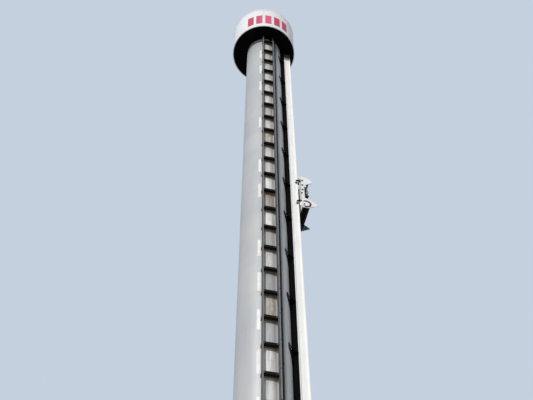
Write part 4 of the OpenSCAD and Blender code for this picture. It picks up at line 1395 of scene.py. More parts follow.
# Base: anchor nuts and washers, the weld round the column's foot, the landing frame's bolts, rings
# on the buffers, and the fin's foot. The rings' heights are shares of the buffer's.
baseDetail = {
    "plateTop": 0.024,
    "anchorCircle": 0.317, "anchorCount": 24, "anchorNut": (0.016, 0.011, 0.0125),
    "weld": [(-0.001, -0.0005), (0.006, -0.0005), (0.0035, 0.0035), (-0.001, 0.006)],
    "landingInsets": (0.01, 0.012), "landingHalf": 0.03, "landingBolt": (0.0075, 0.0045, 0.0052),
    "buffersBolts": (0.0126, 0.0252),
    "bufferTop": 0.008,
    "waist": 0.6,
    "wideRings": (0.10, 0.23, 0.36, 0.49),
    "wideRing": [(-0.001, -0.003), (0.0016, -0.0014), (0.0016, 0.0014), (-0.001, 0.003)],
    "slimRings": (0.66, 0.76, 0.86),
    "slimRing": [(-0.001, -0.003), (0.0026, 0), (-0.001, 0.003)],
    "finInsets": (0.003, 0.004), "finSteps": ((0.004, 0.045), (0.018, 0.004)),
    "finBevel": 0.0008, "overlap": 0.0002,
}


def ringRound(bm, section, radius, z, steps, place):
    # A closed ring whose section is given from the radius and the height
    profile = [(radius + out, z + up) for out, up in section]
    lathe(bm, profile, steps, place, closed=True)


def makeBaseDetail(spec):
    plateTop = spec["plateTop"]
    count = spec["anchorCount"]
    spots = []
    for i in range(count):
        angle = (i + 0.5) * 360 / count
        place, outwards = roundSpot(spec["anchorCircle"], angle, plateTop)
        spots.append((place, Vector((0, 0, 1)), outwards))
    nut = boltHead(*spec["anchorNut"])
    placeParts("anchorNuts", nut, spots, "galvanised", "tower", spin=25, seed=3)
    fillet = bmesh.new()
    ringRound(fillet, spec["weld"], size["columnRadius"], plateTop, 96, Matrix.Identity(4))
    meshPiece("footWeld", fillet, "galvanised", "tower", 60)
    top = size["railLow"]
    railInset, frameInset = spec["landingInsets"]
    spots = []
    for x in (size["railFront"] - railInset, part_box("landing_frame")[1].x - frameInset):
        for side in (-1, 1):
            spots.append(upSpot(x, side * spec["landingHalf"], top))
    low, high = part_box("landing_buffers")
    middleX = (low.x + high.x) / 2
    along, inwards = spec["buffersBolts"]
    for side in (-1, 1):
        for u in (-1, 1):
            spots.append(upSpot(middleX + u * along, side * (size["railY"] - inwards), top))
    bolt = boltHead(*spec["landingBolt"])
    placeParts("landingBolts", bolt, spots, "galvanised", "tower", spin=30, seed=5)
    rings = bmesh.new()
    radius = (high.x - low.x) / 2
    tall = high.z - spec["bufferTop"] - top
    for side in (-1, 1):
        place = Matrix.Translation((middleX, side * size["railY"], top))
        for share in spec["wideRings"]:
            ringRound(rings, spec["wideRing"], radius, tall * share, 32, place)
        for share in spec["slimRings"]:
            ringRound(rings, spec["slimRing"], radius * spec["waist"], tall * share, 32, place)
    meshPiece("bufferRings", rings, "bufferRubber", "tower", 40)
    low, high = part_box("brake_fin")
    overlap = spec["overlap"]
    x0, x1 = low.x + spec["finInsets"][0], high.x - spec["finInsets"][1]
    foot = bmesh.new()
    for side in (-1, 1):
        for reach, rise in spec["finSteps"]:
            a, b = sorted((side * (high.y - overlap), side * (high.y + reach)))
            slab(foot, (x0, a, top - overlap), (x1, b, top + rise), spec["finBevel"])
    meshPiece("finFoot", foot, "galvanised", "tower")


makeBaseDetail(baseDetail)
print("base detailed")


# Gondola: places worked out from its own nodes
def readGondola():
    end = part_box("near_end_frame")
    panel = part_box("back_panel")
    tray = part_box("under_tray")
    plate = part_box("carriage_far_plate")
    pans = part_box("seat_pans")
    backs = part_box("seat_backs")
    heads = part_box("headrests")
    return {
        "low": end[0].z, "top": end[1].z,
        "face": -end[0].y - noseThick, "nose": -end[0].y, "inside": -end[1].y,
        "rootX": panel[1].x, "backX": panel[0].x,
        "trayFront": tray[1].x, "trayBack": tray[0].x,
        "fairingLow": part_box("foot_fairing")[0].z,
        "plateIn": plate[0].y, "plateOut": plate[1].y,
        "cheekOut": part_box("wheel_cheeks")[1].y,
        "panTop": pans[1].z, "panFront": pans[1].x,
        "backFront": backs[1].x, "backLow": backs[0].z, "backHigh": backs[1].z,
        "headLow": heads[0].z, "headHigh": heads[1].z,
        "seatPitch": (pans[1].y - pans[0].y - seatWide) / (seatCount - 1),
    }


noseThick = 0.003
seatCount = 6
seatWide = 0.0524
gondola = readGondola()
seatMiddles = [(i - (seatCount - 1) / 2) * gondola["seatPitch"] for i in range(seatCount)]
seatEdges = [(i - seatCount / 2) * gondola["seatPitch"] for i in range(seatCount + 1)]
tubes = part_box("carriage_tubes")
tubeRadius = 0.010
tubeX = (tubes[0].x + tubes[1].x) / 2
tubeLow, tubeHigh = tubes[0].z + tubeRadius, tubes[1].z - tubeRadius
tubeHeights = [tubeLow, (tubeLow + tubeHigh) / 2, tubeHigh]


def arcCentre(a, b, radius):
    # Centre of the circle through a and b, in the x-z plane, with the curve bulging away from it
    a, b = Vector(a), Vector(b)
    along = b - a
    rise = sqrt(radius * radius - along.length_squared / 4)
    return (a + b) / 2 + Vector((along.y, -along.x)).normalized() * rise


def arcAngles(centre, a, b):
    return [atan2(p[1] - centre[1], p[0] - centre[0]) for p in (a, b)]


def partOf(ends, first, last):
    # The values at two shares of the way from a start to an end
    start, end = ends
    return start + (end - start) * first, start + (end - start) * last


def arcPoints(centre, radius, angles, steps):
    start, end = angles
    turns = [start + (end - start) * i / steps for i in range(steps + 1)]
    return [(centre[0] + radius * cos(turn), centre[1] + radius * sin(turn)) for turn in turns]


def bentPlate(bm, centre, radii, angles, y0, y1, steps):
    # Strip that follows an arc of the x-z plane, between two Y values
    near, far = [arcPoints(centre, radius, angles, steps) for radius in radii]
    rows = []
    for (x0, z0), (x1, z1) in zip(near, far):
        corners = ((x0, y0, z0), (x1, y0, z1), (x1, y1, z1), (x0, y1, z0))
        rows.append([bm.verts.new(corner) for corner in corners])
    skinRows(bm, rows)


def flatRing(bm, centre, spec, y, side):
    # Raised ring or part of a ring on an end frame's face; its ends can run to a point
    inner, outer = spec["radii"]
    start, end = spec["ends"]
    middle, point, proud = (outer + inner) / 2, spec["point"], spec["proud"]
    rows = []
    for i in range(spec["steps"] + 1):
        share = i / spec["steps"]
        angle = radians(start + (end - start) * share)
        slim = min(1.0, share / point, (1 - share) / point) if point else 1.0
        half = (outer - inner) / 2 * max(0.12, slim)
        inside, outside = middle - half, middle + half
        corners = ((inside, 0), (outside, 0), (outside, proud), (inside, proud))
        row = []
        for radius, lift in corners:
            x, z = centre[0] + radius * cos(angle), centre[1] + radius * sin(angle)
            row.append(bm.verts.new((x, y + side * lift, z)))
        rows.append(row)
    skinRows(bm, rows)


def slope(start, end):
    # Matrix whose x runs between two points of the x-z plane and whose z faces away, and the length
    start, end = Vector(start), Vector(end)
    along = (end - start).normalized()
    turn = Matrix(((along.x, 0, along.y, start.x), (0, 1, 0, 0),
                   (along.y, 0, -along.x, start.y), (0, 0, 0, 1)))
    return turn, (end - start).length


# Hood and fairing: joint strips between the seats, rivets beside them, lips, dark liners and skirt
# panels painted as shade, ribs.
# The slabs on a slope have their distances from its two ends, their inset from a seat's edges and
# their two heights above it.
shellDetail = {
    "hoodReach": 0.076, "hoodDrop": 0.078, "hoodRadius": 0.090, "hoodRoot": 0.170,
    "fairingReach": 0.070, "lipHigh": 0.100, "fairingRadius": 0.120, "fairingRoot": 0.186,
    "sideFree": 0.0004,
    "stripWide": 0.007, "stripSunk": 0.0003, "stripHigh": 0.0009, "stripShares": (0.04, 0.95),
    "rivet": (0.0015, 0.0008), "rivetCount": 7, "rivetShift": 0.0065, "rivetFree": 0.003,
    "lipRadius": 0.0032, "lipRise": 0.001,
    "liner": [
        {"ends": (0.012, 0.009), "inset": 0.0015, "heights": (-0.0004, 0.0016), "bevel": 0.0006},
    ],
    "lampAt": 0.55, "lampLift": 0.0016,
    "lamp": [(0, 0), (0.0062, 0), (0.0062, 0.0009), (0.0048, 0.0016), (0.0042, 0.0009),
             (0, 0.0009)],
    "skirt": [
        {"ends": (0.004, 0.010), "inset": 0.0012, "heights": (-0.0004, 0.0014), "bevel": 0.0006},
        {"ends": (0.014, 0.022), "inset": 0.012, "heights": (0.0010, 0.0022), "bevel": 0.0008},
    ],
}

# Tray and back panel: ribs and bolts
panelDetail = {
    "trayRibHalf": 0.0022, "trayRibHigh": (-0.0036, 0.0004), "trayEnds": (0.004, 0.003),
    "traySides": 0.004, "trayEdge": 0.006, "trayBolt": (0.0026, 0.0016),
    "trayBoltAt": (0.017, 0.018), "ribBevel": 0.0006,
    "backRibDeep": (-0.0038, 0.0004), "backSides": 0.006, "backEnds": 0.012,
    "backRibs": ((-0.129, 0.003), (0.129, 0.003)),
    "backRibsWide": ((-0.055, 0.004), (0.055, 0.004)), "backLevels": (0.03, 0.27, 0.42, 0.64, 0.97),
    "backSpans": (-0.1185, -0.1095, 0.1095, 0.1185), "backRibHalf": 0.003,
}

# End frames: the round mark on the nose, beads along the edges, liners painted as the shade inside
# the toes, bolts down the spine. Cap profiles have shares of the radius.
endDetail = {
    "markCentre": (0.481, 7.053),
    "mark": {"radii": (0.041, 0.065), "ends": (142.0, -140.0), "proud": 0.0009, "steps": 56,
             "point": 0.12},
    "ring": {"radii": (0.0285, 0.0315), "ends": (0, 360), "proud": 0.0012, "steps": 48, "point": 0},
    "capCentre": (0.457, 7.042), "capRadius": 0.0115,
    "cap": [(0, -0.002), (1, -0.002), (1, 0.0022), (0.86, 0.0034), (0, 0.0034)],
    "capNut": [(0, 0.003), (0.52, 0.003), (0.52, 0.0052), (0.42, 0.006), (0, 0.006)],
    "coverCentre": (0.438, 7.264),
    "beadRadius": 0.0021, "beadInset": 0.0042, "beadEnds": (0.008, 0.006),
    "hoodReach": 0.106, "hoodDrop": 0.100, "hoodRadius": 0.108, "hoodRoot": 0.170,
    "toeReach": 0.160, "toeHigh": 0.070, "toeRadius": 0.420, "fairingRoot": 0.186,
    "linerShares": (0.30, 0.95), "linerCorner": 0.010, "linerFree": 0.004, "linerShellFrom": 0.45,
    "linerDepth": (0.0002, -0.0012),
    "bolt": (0.0052, 0.0026, 0.003432),
    "boltLow": 0.125, "boltHigh": 0.045, "boltPitch": 0.0555, "boltInsets": (0.007, -0.008),
    "boltFree": 0.019,
    "hookBoltAt": 0.022, "hookBolts": (0.010, 0.025),
    "discRadius": 0.045, "discBehind": 0.440,
}


def makeNose(spec):
    mark = bmesh.new()
    ring = bmesh.new()
    cap = bmesh.new()
    radius = spec["capRadius"]
    centres = ((spec["capCentre"], gondola["nose"]), (spec["coverCentre"], gondola["face"]))
    for side in (-1, 1):
        y = side * gondola["nose"]
        flatRing(mark, spec["markCentre"], spec["mark"], y, side)
        flatRing(ring, spec["markCentre"], spec["ring"], y, side)
        for (x, z), level in centres:
            place = toPlace(*sideSpot(x, side * level, z, side))
            lathe(cap, sized(spec["cap"], radius), 28, place)
            lathe(cap, sized(spec["capNut"], radius), 6, place)
    meshPiece("noseMark", mark, "ringRed", "gondola")
    meshPiece("nosePanelRing", ring, "gondolaWhite", "gondola")
    meshPiece("armCaps", cap, "bracketBlack", "gondola")


def makeEndEdges(spec):
    inset = spec["beadInset"]
    root = (gondola["rootX"], gondola["top"])
    tip = (root[0] + spec["hoodReach"], root[1] - spec["hoodDrop"])
    heel = (root[0], root[1] - spec["hoodRoot"])
    hoodCentre = arcCentre(root, tip, spec["hoodRadius"])
    hoodAngles = arcAngles(hoodCentre, root, tip)
    hoodArc = arcPoints(hoodCentre, spec["hoodRadius"] - inset, hoodAngles, 28)
    toeRoot = (root[0], gondola["low"] + spec["fairingRoot"])
    toeTip = (root[0] + spec["toeReach"], gondola["low"] + spec["toeHigh"])
    toeCentre = arcCentre(toeRoot, toeTip, spec["toeRadius"])
    toeAngles = arcAngles(toeCentre, toeRoot, toeTip)
    toeInner = spec["toeRadius"] - inset
    toeArc = arcPoints(toeCentre, toeInner, toeAngles, 22)
    # blue-grey liner painted as the shade on the inner side of the toe, between its edge, the tray
    # and the fairing
    lip = (root[0] + shellDetail["fairingReach"], gondola["low"] + shellDetail["lipHigh"])
    shellRadius = shellDetail["fairingRadius"]
    shellCentre = arcCentre(toeRoot, lip, shellRadius)
    shellAngles = arcAngles(shellCentre, toeRoot, lip)
    corner = (gondola["trayFront"] + spec["linerCorner"], gondola["low"] + spec["linerCorner"])
    outline = arcPoints(toeCentre, toeInner, partOf(toeAngles, *spec["linerShares"]), 14) + [corner]
    alongShell = partOf(shellAngles, 1, spec["linerShellFrom"])
    outline += arcPoints(shellCentre, shellRadius + spec["linerFree"], alongShell, 8)
    liner = bmesh.new()
    turn = Matrix(((1, 0, 0, 0), (0, 0, -1, 0), (0, 1, 0, 0), (0, 0, 0, 1)))
    for side in (-1, 1):
        near, far = sorted(-side * (gondola["inside"] + depth) for depth in spec["linerDepth"])
        prism(liner, outline, near, far, turn)
    meshPiece("toeLiners", liner, "shadeBlueGrey", "gondola")
    along = (Vector(tip) - Vector(heel)).normalized()
    inward = Vector((-along.y, along.x)) * inset
    tipEnd, heelEnd = spec["beadEnds"]
    under = [Vector(tip) - along * tipEnd + inward, Vector(heel) + along * heelEnd + inward]
    paths = []
    for side in (-1, 1):
        y = side * gondola["face"]
        paths.append([(x, y, z) for x, z in hoodArc[:-1] + under])
        paths.append([(x, y, z) for x, z in toeArc[:-1]])
    tubeAlong("endEdgeBeads", paths, spec["beadRadius"], 8, "gondolaWhite", "gondola")


def makeEndBolts(spec):
    low, top, face = gondola["low"], gondola["top"], gondola["face"]
    back, front = gondola["trayBack"], gondola["rootX"]
    taken = tubeHeights + [spec["coverCentre"][1]]
    places = []
    for z in levels(low + spec["boltLow"], top - spec["boltHigh"], spec["boltPitch"]):
        if min(abs(z - level) for level in taken) >= spec["boltFree"]:
            places += [(x + inset, z) for x, inset in zip((back, front), spec["boltInsets"])]
    places += [(back - spec["hookBoltAt"], top - drop) for drop in spec["hookBolts"]]
    for angle in range(200, 521, 40):
        x = spec["capCentre"][0] + spec["discRadius"] * cos(radians(angle))
        z = spec["capCentre"][1] + spec["discRadius"] * sin(radians(angle))
        if x < spec["discBehind"]:
            places.append((x, z))
    spots = [sideSpot(x, side * face, z, side) for x, z in places for side in (-1, 1)]
    bolt = boltHead(*spec["bolt"])
    placeParts("endFrameBolts", bolt, spots, "galvanised", "gondola", spin=30, seed=7)


makeNose(endDetail)
makeEndEdges(endDetail)
makeEndBolts(endDetail)
print("end frames detailed")


def slopedSlabs(bm, turn, length, panels):
    for a, b in zip(seatEdges, seatEdges[1:]):
        for panel in panels:
            (start, end), (low, high), inset = panel["ends"], panel["heights"], panel["inset"]
            slab(bm, (start, a + inset, low), (length - end, b - inset, high), panel["bevel"], turn)


def makeShell(spec):
    half = gondola["inside"] - spec["sideFree"]
    root = (gondola["rootX"], gondola["top"])
    tip = (root[0] + spec["hoodReach"], root[1] - spec["hoodDrop"])
    low = (root[0], gondola["low"] + spec["fairingRoot"])
    lip = (root[0] + spec["fairingReach"], gondola["low"] + spec["lipHigh"])
    halfStrip, count = spec["stripWide"] / 2, spec["rivetCount"]
    strips = bmesh.new()
    spots = []
    lips = []
    for a, b, radius in ((root, tip, spec["hoodRadius"]), (low, lip, spec["fairingRadius"])):
        centre = arcCentre(a, b, radius)
        angles = partOf(arcAngles(centre, a, b), *spec["stripShares"])
        radii = (radius - spec["stripSunk"], radius + spec["stripHigh"])
        for y in seatEdges[1:-1]:
            bentPlate(strips, centre, radii, angles, y - halfStrip, y + halfStrip, 22)
        beside = [y + side * spec["rivetShift"] for y in seatEdges for side in (-1, 1)]
        for y in beside:
            if abs(y) > half - spec["rivetFree"]:
                continue
            for i in range(count):
                angle = angles[0] + (angles[1] - angles[0]) * (i + 0.5) / count
                out = Vector((cos(angle), 0, sin(angle)))
                place = Vector((centre[0], y, centre[1])) + out * radius
                spots.append((place, out, Vector((0, 1, 0))))
        x, z = b[0] - spec["lipRadius"], b[1] + spec["lipRise"]
        lips.append([(x, y, z) for y in (-half, -half / 2, 0, half / 2, half)])
    meshPiece("shellJointStrips", strips, "gondolaWhite", "gondola")
    placeParts("shellRivets", rivetHead(*spec["rivet"]), spots, "galvanised", "gondola", seed=11)
    tubeAlong("shellLips", lips, spec["lipRadius"], 12, "gondolaWhite", "gondola")
    # liner under the canopy: dark panels painted as the shade under it, with a raised joint between
    # them, and a lamp in each
    liner = bmesh.new()
    turn, length = slope((root[0], root[1] - spec["hoodRoot"]), tip)
    slopedSlabs(liner, turn, length, spec["liner"])
    meshPiece("canopyLiner", liner, "canopyShadeDark", "gondola")
    lamps = bmesh.new()
    for y in seatMiddles:
        place = turn @ Matrix.Translation((length * spec["lampAt"], y, spec["lampLift"]))
        lathe(lamps, spec["lamp"], 20, place)
    meshPiece("canopyLamps", lamps, "restraintGrey", "gondola")
    # skirt below the fairing's lip: sloped front panels painted blue-grey as their shade, with
    # raised fields
    skirt = bmesh.new()
    turn, length = slope((gondola["trayFront"], gondola["fairingLow"]), lip)
    slopedSlabs(skirt, turn, length, spec["skirt"])
    meshPiece("fairingSkirt", skirt, "shadeBlueGrey", "gondola")


def makePanelRibs(spec):
    half = gondola["inside"] - shellDetail["sideFree"]
    back, front = gondola["trayBack"], gondola["trayFront"]
    low, top = gondola["low"], gondola["top"]
    wide, bevel = spec["trayRibHalf"], spec["ribBevel"]
    under, over = [low + rise for rise in spec["trayRibHigh"]]
    tray = bmesh.new()
    x0, x1 = back + spec["trayEnds"][0], front - spec["trayEnds"][1]
    edge = half - spec["traySides"]
    for y in seatEdges[:1] + seatEdges + seatEdges[-1:]:
        y = max(-edge, min(edge, y))
        slab(tray, (x0, y - wide, under), (x1, y + wide, over), bevel)
    for x in (back + spec["trayEdge"], (back + front) / 2, front - spec["trayEdge"]):
        slab(tray, (x - wide, -half, under), (x + wide, half, over), bevel)
    meshPiece("trayRibs", tray, "trayShadeDark", "gondola")
    inset, shift = spec["trayBoltAt"]
    spots = []
    for y in seatMiddles:
        for x in (back + inset, front - inset):
            for side in (-1, 1):
                place = Vector((x, y + side * shift, low))
                spots.append((place, Vector((0, 0, -1)), Vector((0, 1, 0))))
    placeParts("trayBolts", rivetHead(*spec["trayBolt"]), spots, "galvanised", "gondola", seed=13)
    panel = bmesh.new()
    behind, before = [gondola["backX"] + deep for deep in spec["backRibDeep"]]
    edge = half - spec["backSides"]
    z0, z1 = low + spec["backEnds"], top - spec["backEnds"]
    rib = spec["backRibHalf"]
    upright = [(-edge, rib), *spec["backRibs"], (edge, rib), *spec["backRibsWide"]]
    for y, wide in upright:
        slab(panel, (behind, y - wide, z0), (before, y + wide, z1), bevel)
    stops = (-edge, *spec["backSpans"], edge)
    for share in spec["backLevels"]:
        z = low + share * (top - low)
        for a, b in zip(stops[::2], stops[1::2]):
            slab(panel, (behind, a, z - rib), (before, b, z + rib), bevel)
    meshPiece("backPanelRibs", panel, "carriagePaint", "gondola")


makeShell(shellDetail)
makePanelRibs(panelDetail)
print("hood and fairing detailed")


# Seats: crowned pads with sewn channels on the pans, the backs, the headrests and the chest plates.
# A pad's crown is given as shares of its half size and of its height.
seatDetail = {
    "seat": {"wide": 0.044, "long": 0.041, "high": 0.0075, "channels": (-0.33, 0.33)},
    "back": {"wide": 0.044, "long": 0.126, "high": 0.0072, "channels": (-0.62, -0.2, 0.22, 0.62)},
    "head": {"wide": 0.0262, "long": 0.034, "high": 0.0135, "channels": ()},
    "chest": {"wide": 0.037, "long": 0.046, "high": 0.0062, "channels": (0.0,)},
    "panBack": 0.001,
    "backUp": 0.003,
    "chestHalf": 0.0015,
    "pipeRadius": 0.0011,
}
pillow = {
    "crown": [(0.90, 0.0), (0.97, 0.10), (1.0, 0.30), (0.985, 0.50), (0.93, 0.68),
              (0.82, 0.82), (0.66, 0.91), (0.46, 0.97), (0.24, 0.995), (0.08, 1.0)],
    "cornerShare": 0.34, "cornerSteps": 5,
    "sideSteps": 11,
    "pull": 0.035,
    "channelDeep": 0.34, "channelWide": 0.055, "channelFrom": 0.45,
    "deepest": 0.4,
    "seam": 0.30,
}


def pillowOutline(spec, share):
    # Points round the pad at a share of its half size; the sides pull in between the corners
    points = []
    steps, turns = pillow["sideSteps"], pillow["cornerSteps"]
    half = (spec["wide"] / 2 * share, spec["long"] / 2 * share)
    corners = [(-1, -1), (1, -1), (1, 1), (-1, 1)]
    radius = min(half) * pillow["cornerShare"]

    def onCorner(index, turn):
        sx, sy = corners[index % 4]
        angle = radians(180 + index * 90 + turn)
        x = sx * (half[0] - radius) + radius * cos(angle)
        return x, sy * (half[1] - radius) + radius * sin(angle)

    for index in range(4):
        points += [onCorner(index, i * 90 / turns) for i in range(turns + 1)]
        (x0, y0), (x1, y1) = points[-1], onCorner(index + 1, 0)
        upright, level = abs(x1 - x0) < 1e-9, abs(y1 - y0) < 1e-9
        for i in range(1, steps):
            t = i / steps
            kept = 1 - pillow["pull"] * sin(pi * t)
            x, y = x0 + (x1 - x0) * t, y0 + (y1 - y0) * t
            points.append((x * kept if upright else x, y * kept if level else y))
    return points


def makePillow(spec):
    # Closed pad with its flat back at z = 0: rings of points shrink towards the crown
    bm = bmesh.new()
    high = spec["high"]
    rings = []
    for share, level in pillow["crown"]:
        z = high * level
        ring = []
        for x, y in pillowOutline(spec, share):
            v = y / (spec["long"] / 2)
            sunk = 0.0
            if level > pillow["channelFrom"]:
                for channel in spec["channels"]:
                    off = (v - channel) / pillow["channelWide"]
                    sunk += pillow["channelDeep"] * high * exp(-off ** 2)
            ring.append(bm.verts.new((x, y, max(z * pillow["deepest"], z - sunk))))
        rings.append(ring)
    skinRows(bm, rings)
    return bm


def pipingPaths(spec, spots):
    outline = pillowOutline(spec, 1.0)
    outline.append(outline[0])
    z = spec["high"] * pillow["seam"]
    return [[toPlace(*spot) @ Vector((x, y, z)) for x, y in outline] for spot in spots]


# The restraints' chest plates, whose middle is worked out from the restraints' box
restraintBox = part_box("restraints")
chestInset, chestRise = 0.0035, 0.0275
chestX = restraintBox[1].x - chestInset
chestZ = restraintBox[0].z + chestRise


def makeSeatPads(spec):
    up = Vector((0, 0, 1))
    front = Vector((1, 0, 0))
    panX = (gondola["backFront"] + gondola["panFront"]) / 2 - spec["panBack"]
    backZ = (gondola["backLow"] + gondola["backHigh"]) / 2 + spec["backUp"]
    headZ = (gondola["headLow"] + gondola["headHigh"]) / 2
    half = spec["chestHalf"]
    chest = [(Vector((chestX + half, y, chestZ)), front) for y in seatMiddles]
    chest += [(Vector((chestX - half, y, chestZ)), -front) for y in seatMiddles]
    places = {
        "seat": [(Vector((panX, y, gondola["panTop"])), up, front) for y in seatMiddles],
        "back": [(Vector((gondola["backFront"], y, backZ)), front) for y in seatMiddles],
        "head": [(Vector((gondola["rootX"], y, headZ)), front) for y in seatMiddles],
        "chest": chest,
    }
    for key, spots in places.items():
        finish = "sleeveGrey" if key == "chest" else "padFoam"
        pads = placeParts(key + "Pads", makePillow(spec[key]), spots, finish, "gondola", smooth=60)
        if key == "head":
            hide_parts("headrests")
        paths = pipingPaths(spec[key], spots)
        tubeAlong(key + "PadsPiping", paths, spec["pipeRadius"], 6, finish, "gondola")


makeSeatPads(seatDetail)


# Restraints: foam sleeves, grab handles, and the screws of the shaft's brackets. The handle's
# points are given from the middle of the chest plate: outwards, across and up.
restraintDetail = {
    "sleeveRadius": 0.0062, "sleeveBack": 0.004, "sleeveFoot": 0.0255,
    "gauge": 0.030,
    "bend": 0.022,
    "barOut": 0.014,
    "shaftOut": 0.009, "shaftDrop": 0.005,
    "handle": [(0, 0.015, 0.015), (0.008, 0.0205, 0.016), (0.015, 0.0205, 0.010),
               (0.015, 0.0205, -0.008), (0.008, 0.0205, -0.014), (0, 0.015, -0.013)],
    "handleRadius": 0.0021,
    "screw": (0.0036, 0.0018, 0.0022), "screwOut": 0.003, "screwRise": 0.0125,
}


def makeRestraintDetail(spec):
    shaftZ = restraintBox[1].z - spec["shaftDrop"]
    bendX = gondola["rootX"] + spec["shaftOut"] + spec["barOut"]
    bend = arcPoints((bendX, shaftZ - spec["bend"]), spec["bend"], (pi / 2, 0), 10)
    path = [(bendX - spec["sleeveBack"], shaftZ), *bend, (chestX, chestZ + spec["sleeveFoot"])]
    sleeves = []
    handles = []
    for y in seatMiddles:
        for side in (-1, 1):
            sleeves.append([(x, y + side * spec["gauge"] / 2, z) for x, z in path])
            handles.append([(chestX + out, y + side * across, chestZ + rise)
                            for out, across, rise in spec["handle"]])
    tubeAlong("restraintSleeves", sleeves, spec["sleeveRadius"], 14, "sleeveGrey", "gondola")
    tubeAlong("restraintHandles", handles, spec["handleRadius"], 8, "restraintGrey", "gondola")
    x = gondola["rootX"] + spec["screwOut"]
    spots = []
    for y in seatEdges[1:-1]:
        for side in (-1, 1):
            spots.append((Vector((x, y, shaftZ + side * spec["screwRise"])), Vector((1, 0, 0))))
    screw = boltHead(*spec["screw"])
    placeParts("shaftBracketScrews", screw, spots, "galvanised", "gondola", spin=30, seed=29)


makeRestraintDetail(restraintDetail)
print("seats and restraints made")


# Carriage: wheel hubs, axle caps, bolts on the cheeks, collars on the tubes, bolts on the magnets.
# A wheel has its place, its two sides and its radius. A collar has two ends and its height.
carriageDetail = {
    "wheels": ((0.4365, 0.065, 0.085, 0.016), (0.4005, 0.082, 0.092, 0.011)),
    "hub": (0.0042, 0.0062), "hubSunk": 0.0003, "hubSteps": (0.0009, 0.0014),
    "coverSteps": (0.0012, 0.0022), "plateFree": 0.0002,
    "discShare": 0.62, "discCrown": 0.36,
    "grooves": (0.28, 0.5, 0.72),
    "groove": [(-0.0008, -0.0007), (0.00002, -0.0007), (0.00002, 0.0007), (-0.0008, 0.0007)],
    "capRadius": 0.0072,
    "cap": [(0, -0.0004), (1, -0.0004), (1, 0.0014), (0.8, 0.0028), (0, 0.0028)],
    "capNut": [(0, 0.002), (0.45, 0.002), (0.45, 0.0046), (0, 0.0046)],
    "cheekX": 0.440, "cheekBolt": (0.0056, 0.003, 0.003696),
    "cheekBolts": ((-0.012, -0.0205), (0.012, -0.0205), (-0.012, 0.0205), (0.012, 0.0205),
                   (0.0215, -0.008), (0.0215, 0.008)),
    "collars": (
        (gondola["plateOut"] - 0.0002, gondola["plateOut"] + 0.006, 0.0042),
        (gondola["plateIn"] - 0.005, gondola["plateIn"] + 0.0002, 0.0034),
        (0.018, 0.024, 0.0034),
        (gondola["inside"] - 0.005, gondola["inside"] + 0.0002, 0.0038),
    ),
    "collarSunk": 0.0004, "collarBevel": 0.0006,
    "tubeCap": [(0, -0.0004), (0.0136, -0.0004), (0.0136, 0.0020), (0.0128, 0.0028),
                (0.0100, 0.0028), (0.0090, 0.0018), (0, 0.0018)],
    "tubeScrew": (0.0011, 0.0008), "tubeScrewAt": (0.0114, 0.0028),
    "magnetBolt": (0.0054, 0.0026, 0.0036), "magnetColumns": (0.010, 0.045, 0.080),
    "magnetInset": 0.012, "magnetRows": 7,
}


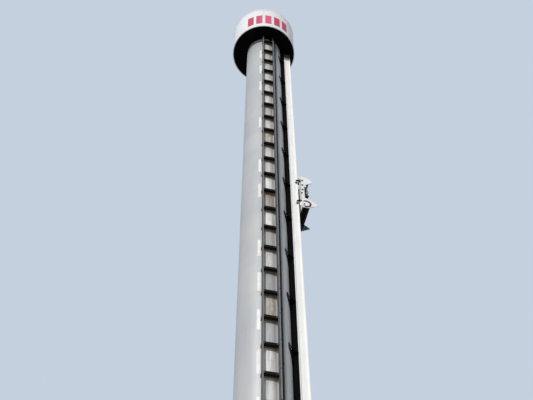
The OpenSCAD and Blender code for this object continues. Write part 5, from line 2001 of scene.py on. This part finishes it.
def makeWheelDetail(spec):
    hubs = bmesh.new()
    rims = bmesh.new()
    caps = bmesh.new()
    hole, neck = spec["hub"]
    sunk, (edge, step), (shoulder, dome) = spec["hubSunk"], spec["hubSteps"], spec["coverSteps"]
    cheek, plate = gondola["cheekOut"], gondola["plateIn"] - spec["plateFree"]
    spots = []
    for name in ("lower_wheels", "upper_wheels"):
        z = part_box(name)[1].z - spec["wheels"][0][3]
        for side in (-1, 1):
            for x, inner, outer, radius in spec["wheels"]:
                place = toPlace(*sideSpot(x, 0, z, side))
                disc, crown = radius * spec["discShare"], radius * spec["discCrown"]
                back, face = outer - sunk, inner + sunk
                hub = [(hole, back), (disc, back), (disc, outer + edge), (neck, outer + step),
                       (neck, plate), (hole, plate)]
                lathe(hubs, hub, 24, place, closed=True)
                cover = [(0, face), (disc, face), (disc, face - shoulder), (crown, face - dome),
                         (0, face - dome)]
                lathe(hubs, cover, 24, place)
                for share in spec["grooves"]:
                    y = inner + (outer - inner) * share
                    ringRound(rims, spec["groove"], radius, y, 40, place)
                lathe(caps, sized(spec["cap"], spec["capRadius"], cheek), 24, place)
                lathe(caps, sized(spec["capNut"], spec["capRadius"], cheek), 6, place)
            for u, v in spec["cheekBolts"]:
                spots.append(sideSpot(spec["cheekX"] + u, side * cheek, z + v, side))
    meshPiece("wheelHubs", hubs, "galvanised", "gondola")
    meshPiece("wheelGrooves", rims, "bufferRubber", "gondola")
    meshPiece("axleCaps", caps, "galvanised", "gondola")
    bolt = boltHead(*spec["cheekBolt"])
    placeParts("cheekBolts", bolt, spots, "galvanised", "gondola", spin=30, seed=17)


def makeTubeDetail(spec):
    collars = bmesh.new()
    caps = bmesh.new()
    face = gondola["face"]
    inner, bevel = tubeRadius - spec["collarSunk"], spec["collarBevel"]
    reach, lift = spec["tubeScrewAt"]
    spots = []
    for z in tubeHeights:
        for side in (-1, 1):
            place = toPlace(*sideSpot(tubeX, 0, z, side))
            for near, far, high in spec["collars"]:
                outer = tubeRadius + high
                collar = [(inner, near), (outer, near), (outer, far - bevel), (outer - bevel, far),
                          (inner, far)]
                lathe(collars, collar, 28, place, closed=True)
            lathe(caps, sized(spec["tubeCap"], 1, face), 32, place)
            for i in range(6):
                angle = radians(i * 60 + 30)
                x, up = tubeX + reach * cos(angle), z + reach * sin(angle)
                spots.append(sideSpot(x, side * (face + lift), up, side))
    meshPiece("tubeCollars", collars, "carriagePaint", "gondola")
    meshPiece("tubeCaps", caps, "bracketBlack", "gondola")
    screw = rivetHead(*spec["tubeScrew"])
    placeParts("tubeCapScrews", screw, spots, "galvanised", "gondola", seed=19)


def makeMagnetBolts(spec):
    low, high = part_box("brake_magnets")
    inset, steps = spec["magnetInset"], spec["magnetRows"] - 1
    spots = []
    for side in (-1, 1):
        for across in spec["magnetColumns"]:
            for i in range(steps + 1):
                z = low.z + inset + i * (high.z - low.z - 2 * inset) / steps
                spots.append(sideSpot(low.x + across, side * high.y, z, side))
    bolt = boltHead(*spec["magnetBolt"])
    placeParts("magnetBolts", bolt, spots, "galvanised", "gondola", spin=30, seed=23)


makeWheelDetail(carriageDetail)
makeTubeDetail(carriageDetail)
makeMagnetBolts(carriageDetail)
print("carriage detailed")
